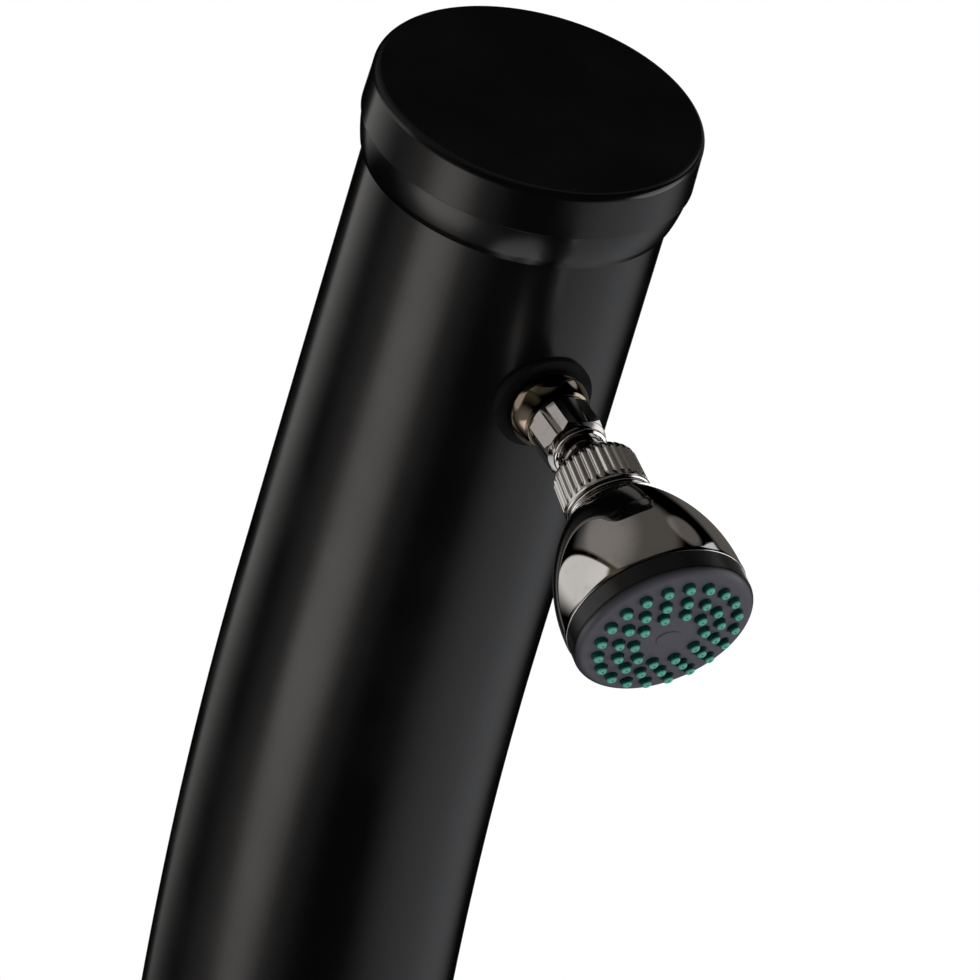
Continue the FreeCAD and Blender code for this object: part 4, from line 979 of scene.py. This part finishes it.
class POST_OT_coupling(bpy.types.Operator):
    """Makes the two sleeves of the coupling and the scalloped union nut"""
    bl_idname = "post.coupling"
    bl_label = "Coupling"

    def execute(self, context):
        spigot = lathe([
            (62.6, -50), (70, -50, 0.6), (70, -38, 0, 4), (67, -35), (67, 0, 0.3), (65.5, 0),
            (65.5, -3.8), (61.7, -3.8), (61.7, 0), (59.5, 0), (59.5, -4), (62.6, -4)],
            segments=192)
        piece("coupling_lower_half", spigot, coupling(), "post", "coupling",
              ["coupling_spigot"], 30)
        sleeve = lathe([
            (59.5, 0), (70, 0), (70, 9, 0.5), (67, 9, 0.4), (67, 49, 1.2), (64.2, 50, 0.4),
            (62.6, 50), (62.6, 8), (59.5, 8)], segments=192)
        piece("coupling_upper_half", sleeve, coupling(), "post", "coupling",
              ["coupling_sleeve"], 30)
        nut = lathe([
            (67.2, -32), (74.6, -32, 1.0), *split_run((76, -30), (76, 13), 8), (74.6, 15, 1.0),
            (67.2, 15), (67.2, 9.2), (70.2, 9.2), (70.2, 0), (67.2, 0)], segments=768)
        nut = grown(ribbed_tree(), {
            "Ribs": 16, "Depth": 2.8 * MM, "From": -40 * MM, "To": 23 * MM, "Fade": 1 * MM,
            "Least Radius": 72 * MM, "Sharpness": 4.0, "Material": finish("coupling")}, nut)
        piece("union_nut_body", nut, coupling(), "post", "coupling", ["union_nut"], 40)
        return {"FINISHED"}


# ---------------------------------------------------------------- moulded and cast pieces

ROUNDED = [
    # piece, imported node, body, finish, edge rounding in mm, segments
    ("foot_moulding", "base_foot", "post", "foot", 0.9, 3),
    ("mixer_casting", "mixer_body", "post", "chrome", 0.5, 3),
    ("mixer_cover", "mixer_dome", "post", "chrome", 0.4, 3),
    ("lever_casting", "mixer_lever", "mixer_lift", "chrome", 0.5, 3),
    ("tap_casting", "foot_tap_body", "post", "chrome", 0.5, 3),
    ("tap_nozzle", "foot_tap_outlet", "post", "chrome", 0.4, 3),
    ("tap_lever", "foot_tap_handle", "foot_handle", "chrome", 0.6, 3),
    ("drain_seat_moulding", "drain_seat", "post", "coupling", 0.5, 3),
    ("drain_plug_moulding", "drain_plug", "post", "coupling", 0.5, 3),
    ("arm_washer_ring", "arm_washer", "post", "rubber", 0.3, 2),
    ("mixer_washer", "mixer_gasket", "post", "rubber", 0.3, 2),
    ("tap_washer", "foot_tap_washer", "post", "rubber", 0.3, 2),
    ("inlet_washer_ring", "inlet_washer", "post", "rubber", 0.3, 2),
    ("drain_washer", "drain_gasket", "post", "rubber", 0.3, 2),
]


class POST_OT_castings(bpy.types.Operator):
    """Rounds the edges of the moulded, cast and rubber pieces"""
    bl_idname = "post.castings"
    bl_label = "Castings and mouldings"

    def execute(self, context):
        for name, node, body, look, width, segments in ROUNDED:
            mesh = bevelled(copy_of(node), width, 35, segments)
            piece(name, mesh, upright(), body, look, [node], 35)
        return {"FINISHED"}


def recessed(mesh, top, arm_length, arm_width, depth):
    """Cuts a cross recess into a screw's head."""
    for x, y in ((arm_length, arm_width), (arm_width, arm_length)):
        bar = prism([(x, y), (-x, y), (-x, -y), (x, -y)], top - depth, top + 1)
        mesh = cut(mesh, "DIFFERENCE", bar)
    return mesh


class POST_OT_screws(bpy.types.Operator):
    """Makes the four socket screws and the foot tap's handle screw, with cross recesses"""
    bl_idname = "post.screws"
    bl_label = "Screws"

    def execute(self, context):
        top = 76.8
        screw = lathe([
            (0, 58.5), (2.1, 60.5), (2.1, 74), (4.5, 74, 0.2), (4.5, 75, 0, 6.5), (0, top)],
            segments=48, arc_steps=8)
        screw = recessed(screw, top, arm_length=2.4, arm_width=0.45, depth=1.5)
        level = middle_of("socket_screws").z
        screw.transform(Matrix.Translation((0, 0, level)) @ Matrix.Rotation(math.pi / 2, 4, "Y"))
        four = grown(ring_tree(), {
            "Count": 4, "Ring Radius": 0.0, "First Angle": math.radians(-90),
            "Material": finish("steel")}, screw)
        piece("socket_screw_set", four, upright(), "post", "steel", ["socket_screws"], 30)

        top = 118.4
        held = lathe([
            (0, 105), (2, 105), (2, 116.1), (4, 116.1, 0.2), (4, 117.5, 0, 9.3), (0, top)],
            segments=48, arc_steps=8)
        held = recessed(held, top, arm_length=2.2, arm_width=0.4, depth=1.3)
        piece("tap_screw", held, foot_tap(), "foot_handle", "steel", ["foot_tap_screw"], 30)
        return {"FINISHED"}


class POST_OT_inlet(bpy.types.Operator):
    """Makes the threaded hose inlet with its spanner flats"""
    bl_idname = "post.inlet"
    bl_label = "Hose inlet"

    def execute(self, context):
        seat, low, high = 64.3, 70.3, 86.3
        pitch = 1.814 * MM
        stub = lathe([
            (7, 46), (10.4, 46), (10.4, seat), (13.1, seat),
            *split_run((13.1, low + 0.2), (13.1, high - 1), 90), (12.1, high), (7, high)],
            segments=160)
        stub = grown(thread_tree(), {
            "Pitch": pitch, "Fade": pitch, "Depth": 1.1 * MM, "From": (low + 0.8) * MM,
            "To": (high + 0.5) * MM, "Least Radius": 12.5 * MM, "Material": finish("brass")}, stub)
        flats = prism(round_points(16.4, 16.4, 6), seat, low)
        chamfer = lathe([
            (0, seat), (16.6, seat), (16.6, low - 1.2), (14.6, low), (0, low)])
        flats = bevelled(cut(flats, "INTERSECT", chamfer), 0.3, 25)
        stub = cut(stub, "UNION", flats)
        piece("inlet_stub", stub, inlet(), "post", "brass", ["inlet_nipple"], 30)
        return {"FINISHED"}


# ---------------------------------------------------------------- pieces kept as packed

class POST_OT_kept_pieces(bpy.types.Operator):
    """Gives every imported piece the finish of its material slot"""
    bl_idname = "post.kept_pieces"
    bl_label = "Kept pieces"

    def execute(self, context):
        for node, thing in frame["nodes"].items():
            name = SLOT_FINISH[slot_of(node)]
            name = "cap" if name == "tube" else name
            thing.data.materials.clear()
            thing.data.materials.append(finish(name))
        return {"FINISHED"}


# ---------------------------------------------------------------- stage

VIEW_TURN = math.radians(-29.0)
VIEW_DOWN = math.radians(6.0)
VIEW_DISTANCE = 6.0
IMAGE_SIDE = 980
FOCAL_PIXELS = 15246
CAP_PIXEL = (540.4, 99.3)
SENSOR = 36.0


def add_camera():
    """Stands the camera at the photograph's viewing angle, with the cap's centre at its pixel."""
    right = Vector((math.cos(VIEW_TURN), math.sin(VIEW_TURN), 0))
    level = Vector((math.sin(VIEW_TURN), -math.cos(VIEW_TURN), 0))
    back = level * math.cos(VIEW_DOWN) + Vector((0, 0, math.sin(VIEW_DOWN)))
    up = Vector((0, 0, math.cos(VIEW_DOWN))) - level * math.sin(VIEW_DOWN)
    across, down = (pixel - IMAGE_SIDE / 2 for pixel in CAP_PIXEL)
    offset = (right * across - up * down) * (VIEW_DISTANCE / FOCAL_PIXELS)
    data = bpy.data.cameras.new("camera")
    data.sensor_width = SENSOR
    data.lens = FOCAL_PIXELS * SENSOR / IMAGE_SIDE
    data.clip_start = 0.1
    data.clip_end = 200
    camera = placed("camera", data)
    place = Matrix.Translation(cap().translation - offset + back * VIEW_DISTANCE)
    camera.matrix_world = place @ Matrix((right, up, back)).transposed().to_4x4()
    bpy.context.scene.camera = camera


WHITE = (1.0, 1.0, 1.0)
AMBIENT = 0.45


def add_world():
    """A plain soft level of light, seen as white by the camera and in polished surfaces."""
    world = bpy.data.worlds.new("studio")
    world.use_nodes = True
    sky = Nodes(world.node_tree)
    sky.tree.nodes.clear()
    path = sky.node("ShaderNodeLightPath").outputs
    seen = sky.math("MAXIMUM", path["Is Camera Ray"], path["Is Glossy Ray"])
    seen = sky.math("MAXIMUM", seen, path["Is Transmission Ray"])
    soft = sky.node("ShaderNodeBackground", (*WHITE, 1), AMBIENT)
    white = sky.node("ShaderNodeBackground", (*WHITE, 1), 1.0)
    mix = sky.node("ShaderNodeMixShader", seen, soft.outputs[0], white.outputs[0])
    sky.node("ShaderNodeOutputWorld", mix.outputs[0])
    bpy.context.scene.world = world


LAMPS = [
    # name, where it stands, side in m, watts, colour
    ("right_lamp", (2.6, -2.2, 0.6), 1.6, 42, (0.96, 0.98, 1.0)),
    ("left_lamp", (-3.0, -1.2, 2.2), 1.2, 30, (1.0, 0.95, 0.9)),
    ("top_lamp", (-0.4, 0.8, 4.6), 1.8, 26, WHITE),
]
LAMP_AIM = Vector((0, -0.2, 1.5))


def add_lamps():
    """Soft lamps that light matt surfaces; polished ones see the surround's cards instead."""
    for name, place, side, watts, colour in LAMPS:
        data = bpy.data.lights.new(name, "AREA")
        data.shape = "SQUARE"
        data.size = side
        data.energy = watts
        data.color = colour
        lamp = placed(name, data)
        lamp.location = place
        lamp.rotation_mode = "QUATERNION"
        lamp.rotation_quaternion = (LAMP_AIM - Vector(place)).to_track_quat("-Z", "Y")
        lamp.visible_glossy = False


def towards(turn, height):
    """A direction by its turn from -Y towards +X and its height above the horizon, in degrees."""
    turn, height = math.radians(turn), math.radians(height)
    return Vector((math.sin(turn) * math.cos(height), -math.cos(turn) * math.cos(height),
                   math.sin(height)))


def above(first, second):
    """The upward normal of the plane that holds two directions."""
    normal = first.cross(second).normalized()
    return normal if normal.z > 0 else -normal


UP = Vector((0, 0, 1))
OVER_PATCH = above(towards(-165, 10), towards(-131, 33))
OVER_RIM = above(towards(78, 51), towards(106, 33))
CARDS = [
    # card, colour, strength, and its edges: a direction, and the shares of it between which the
    # card comes up. A card lies within all its edges, and a list stands for any one of its own.
    ("left", (1.0, 0.94, 0.90), 1.75, [(towards(-104, -33), 0.90, 1.0), (-UP, 0.34, 0.45)]),
    ("left_tail", (1.0, 0.95, 0.92), 0.35, [(towards(-98, -30), 0.70, 1.0)]),
    ("right", (0.96, 0.97, 1.0), 0.66, [(Vector((1, 0, 0)), -0.08, -0.02),
                                        (towards(75, -45), 0.62, 1.0)]),
    ("low_left", (1.0, 0.985, 0.96), 0.78, [
        (-OVER_PATCH, 0.015, 0.04), (UP, -0.16, 0.05),
        [(towards(-143, 25), 0.76, 0.82), (towards(-165, 0), 0.80, 0.92)]]),
    ("cloud", (1.0, 0.95, 0.9), 0.17, [(OVER_PATCH, 0.01, 0.06), (towards(-128, 48), 0.78, 1.0)]),
    ("ceiling", (1.0, 0.93, 0.86), 0.10, [(OVER_PATCH, 0.01, 0.06),
                                          (towards(-120, 72), 0.70, 0.82)]),
    ("ring", WHITE, 1.8, [(towards(66, -4), 0.90, 0.95)]),
    ("far_right", WHITE, 1.6, [(towards(148, 6), 0.975, 0.99)]),
    ("brassy", (1.0, 0.90, 0.62), 0.2, [(towards(-88, 8), 0.72, 0.95), (OVER_PATCH, -0.6, 0.2)]),
    ("edge", (0.95, 0.98, 1.0), 0.75, [(-OVER_RIM, -0.012, 0.0), (towards(96, 42), 0.97, 0.99)]),
    ("shelf", (1.0, 0.9, 0.82), 0.14, [(towards(98, 58), 0.975, 0.99)]),
    ("flank", (1.0, 0.93, 0.86), 0.12, [(towards(122, 15), 0.92, 0.97)]),
    ("below", WHITE, 1.0, [(-UP, 0.93, 0.965)]),
]


class Surround(Nodes):
    """The cards round the studio, as masks over the direction that a reflection looks in."""

    def __init__(self):
        self.material = bpy.data.materials.new("studio_cards")
        self.material.use_nodes = True
        super().__init__(self.material.node_tree)
        self.tree.nodes.clear()
        place = self.node("ShaderNodeTexCoord").outputs["Object"]
        self.way = self.node("ShaderNodeVectorMath", place, operation="NORMALIZE").outputs[0]

    def mask(self, edges, operation="MULTIPLY"):
        """How much of a card lies in the direction looked in, from 0 to 1."""
        whole = None
        for edge in edges:
            if isinstance(edge, list):
                part = self.mask(edge, "MAXIMUM")
            else:
                way, low, high = edge
                share = self.node("ShaderNodeVectorMath", self.way, way, operation="DOT_PRODUCT")
                part = self.ramp(share.outputs["Value"], low, high)
            whole = part if whole is None else self.math(operation, whole, part)
        return whole

    def finished(self):
        """The shell's material, with the light of all the cards added up."""
        light = None
        for _, colour, strength, edges in CARDS:
            power = self.math("MULTIPLY", self.mask(edges), strength)
            card = self.node("ShaderNodeEmission", (*colour, 1), power).outputs[0]
            if light is not None:
                card = self.node("ShaderNodeAddShader", light, card).outputs[0]
            light = card
        self.node("ShaderNodeOutputMaterial", light)
        return self.material


SHELL_RADIUS = 14
SHELL_CENTRE = (0, -0.2, 1.6)


def add_surround():
    """A dark shell round the studio that carries the cards. Only polished surfaces see it."""
    bm = bmesh.new()
    bmesh.ops.create_uvsphere(bm, u_segments=64, v_segments=32, radius=SHELL_RADIUS)
    mesh = bpy.data.meshes.new("surround")
    bm.to_mesh(mesh)
    bm.free()
    mesh.materials.append(Surround().finished())
    shell = placed("surround", mesh)
    shell.location = SHELL_CENTRE
    for ray in ("camera", "diffuse", "transmission", "shadow", "volume_scatter"):
        setattr(shell, f"visible_{ray}", False)


FLOOR_REACH = 5


def add_floor():
    """The plain pale floor that the post stands on."""
    low, high = -FLOOR_REACH, FLOOR_REACH
    corners = [(low, low, 0), (high, low, 0), (high, high, 0), (low, high, 0)]
    mesh = bpy.data.meshes.new("floor")
    mesh.from_pydata(corners, [], [(0, 1, 2, 3)])
    mesh.materials.append(Finish("pale_floor", (0.78, 0.78, 0.77), 0.8).material)
    floor = placed("floor", mesh)
    floor.visible_glossy = False


class POST_OT_stage(bpy.types.Operator):
    """Makes the camera, the white background, the lamps, the surround and the floor"""
    bl_idname = "post.stage"
    bl_label = "Stage"

    def execute(self, context):
        context.scene.view_settings.view_transform = "Standard"
        add_camera()
        add_world()
        add_lamps()
        add_surround()
        add_floor()
        return {"FINISHED"}


# ---------------------------------------------------------------- panel and add-on

BUILDERS = (
    POST_OT_kept_pieces, POST_OT_tank, POST_OT_top_cap, POST_OT_arm, POST_OT_collar,
    POST_OT_head, POST_OT_nozzles, POST_OT_coupling, POST_OT_castings, POST_OT_screws,
    POST_OT_inlet, POST_OT_stage,
)


class POST_PT_sidebar(bpy.types.Panel):
    """Lists the builders and the settings of the shower post"""
    bl_idname = "POST_PT_sidebar"
    bl_label = "Shower post"
    bl_space_type = "VIEW_3D"
    bl_region_type = "UI"
    bl_category = "Shower post"

    def draw(self, context):
        for group in (context.scene.post_sizes, context.scene.post_colours):
            for name in group.bl_rna.properties.keys():
                if name not in ("rna_type", "name"):
                    self.layout.prop(group, name)
        for builder in BUILDERS:
            self.layout.operator(builder.bl_idname)


CLASSES = (PostSizes, PostColours, *BUILDERS, POST_PT_sidebar)


def register():
    for cls in CLASSES:
        bpy.utils.register_class(cls)
    bpy.types.Scene.post_sizes = PointerProperty(type=PostSizes)
    bpy.types.Scene.post_colours = PointerProperty(type=PostColours)


def unregister():
    del bpy.types.Scene.post_colours
    del bpy.types.Scene.post_sizes
    for cls in reversed(CLASSES):
        bpy.utils.unregister_class(cls)


def main():
    register()
    for builder in BUILDERS:
        group, name = builder.bl_idname.split(".")
        getattr(getattr(bpy.ops, group), name)()


if __name__ == "__main__":
    main()
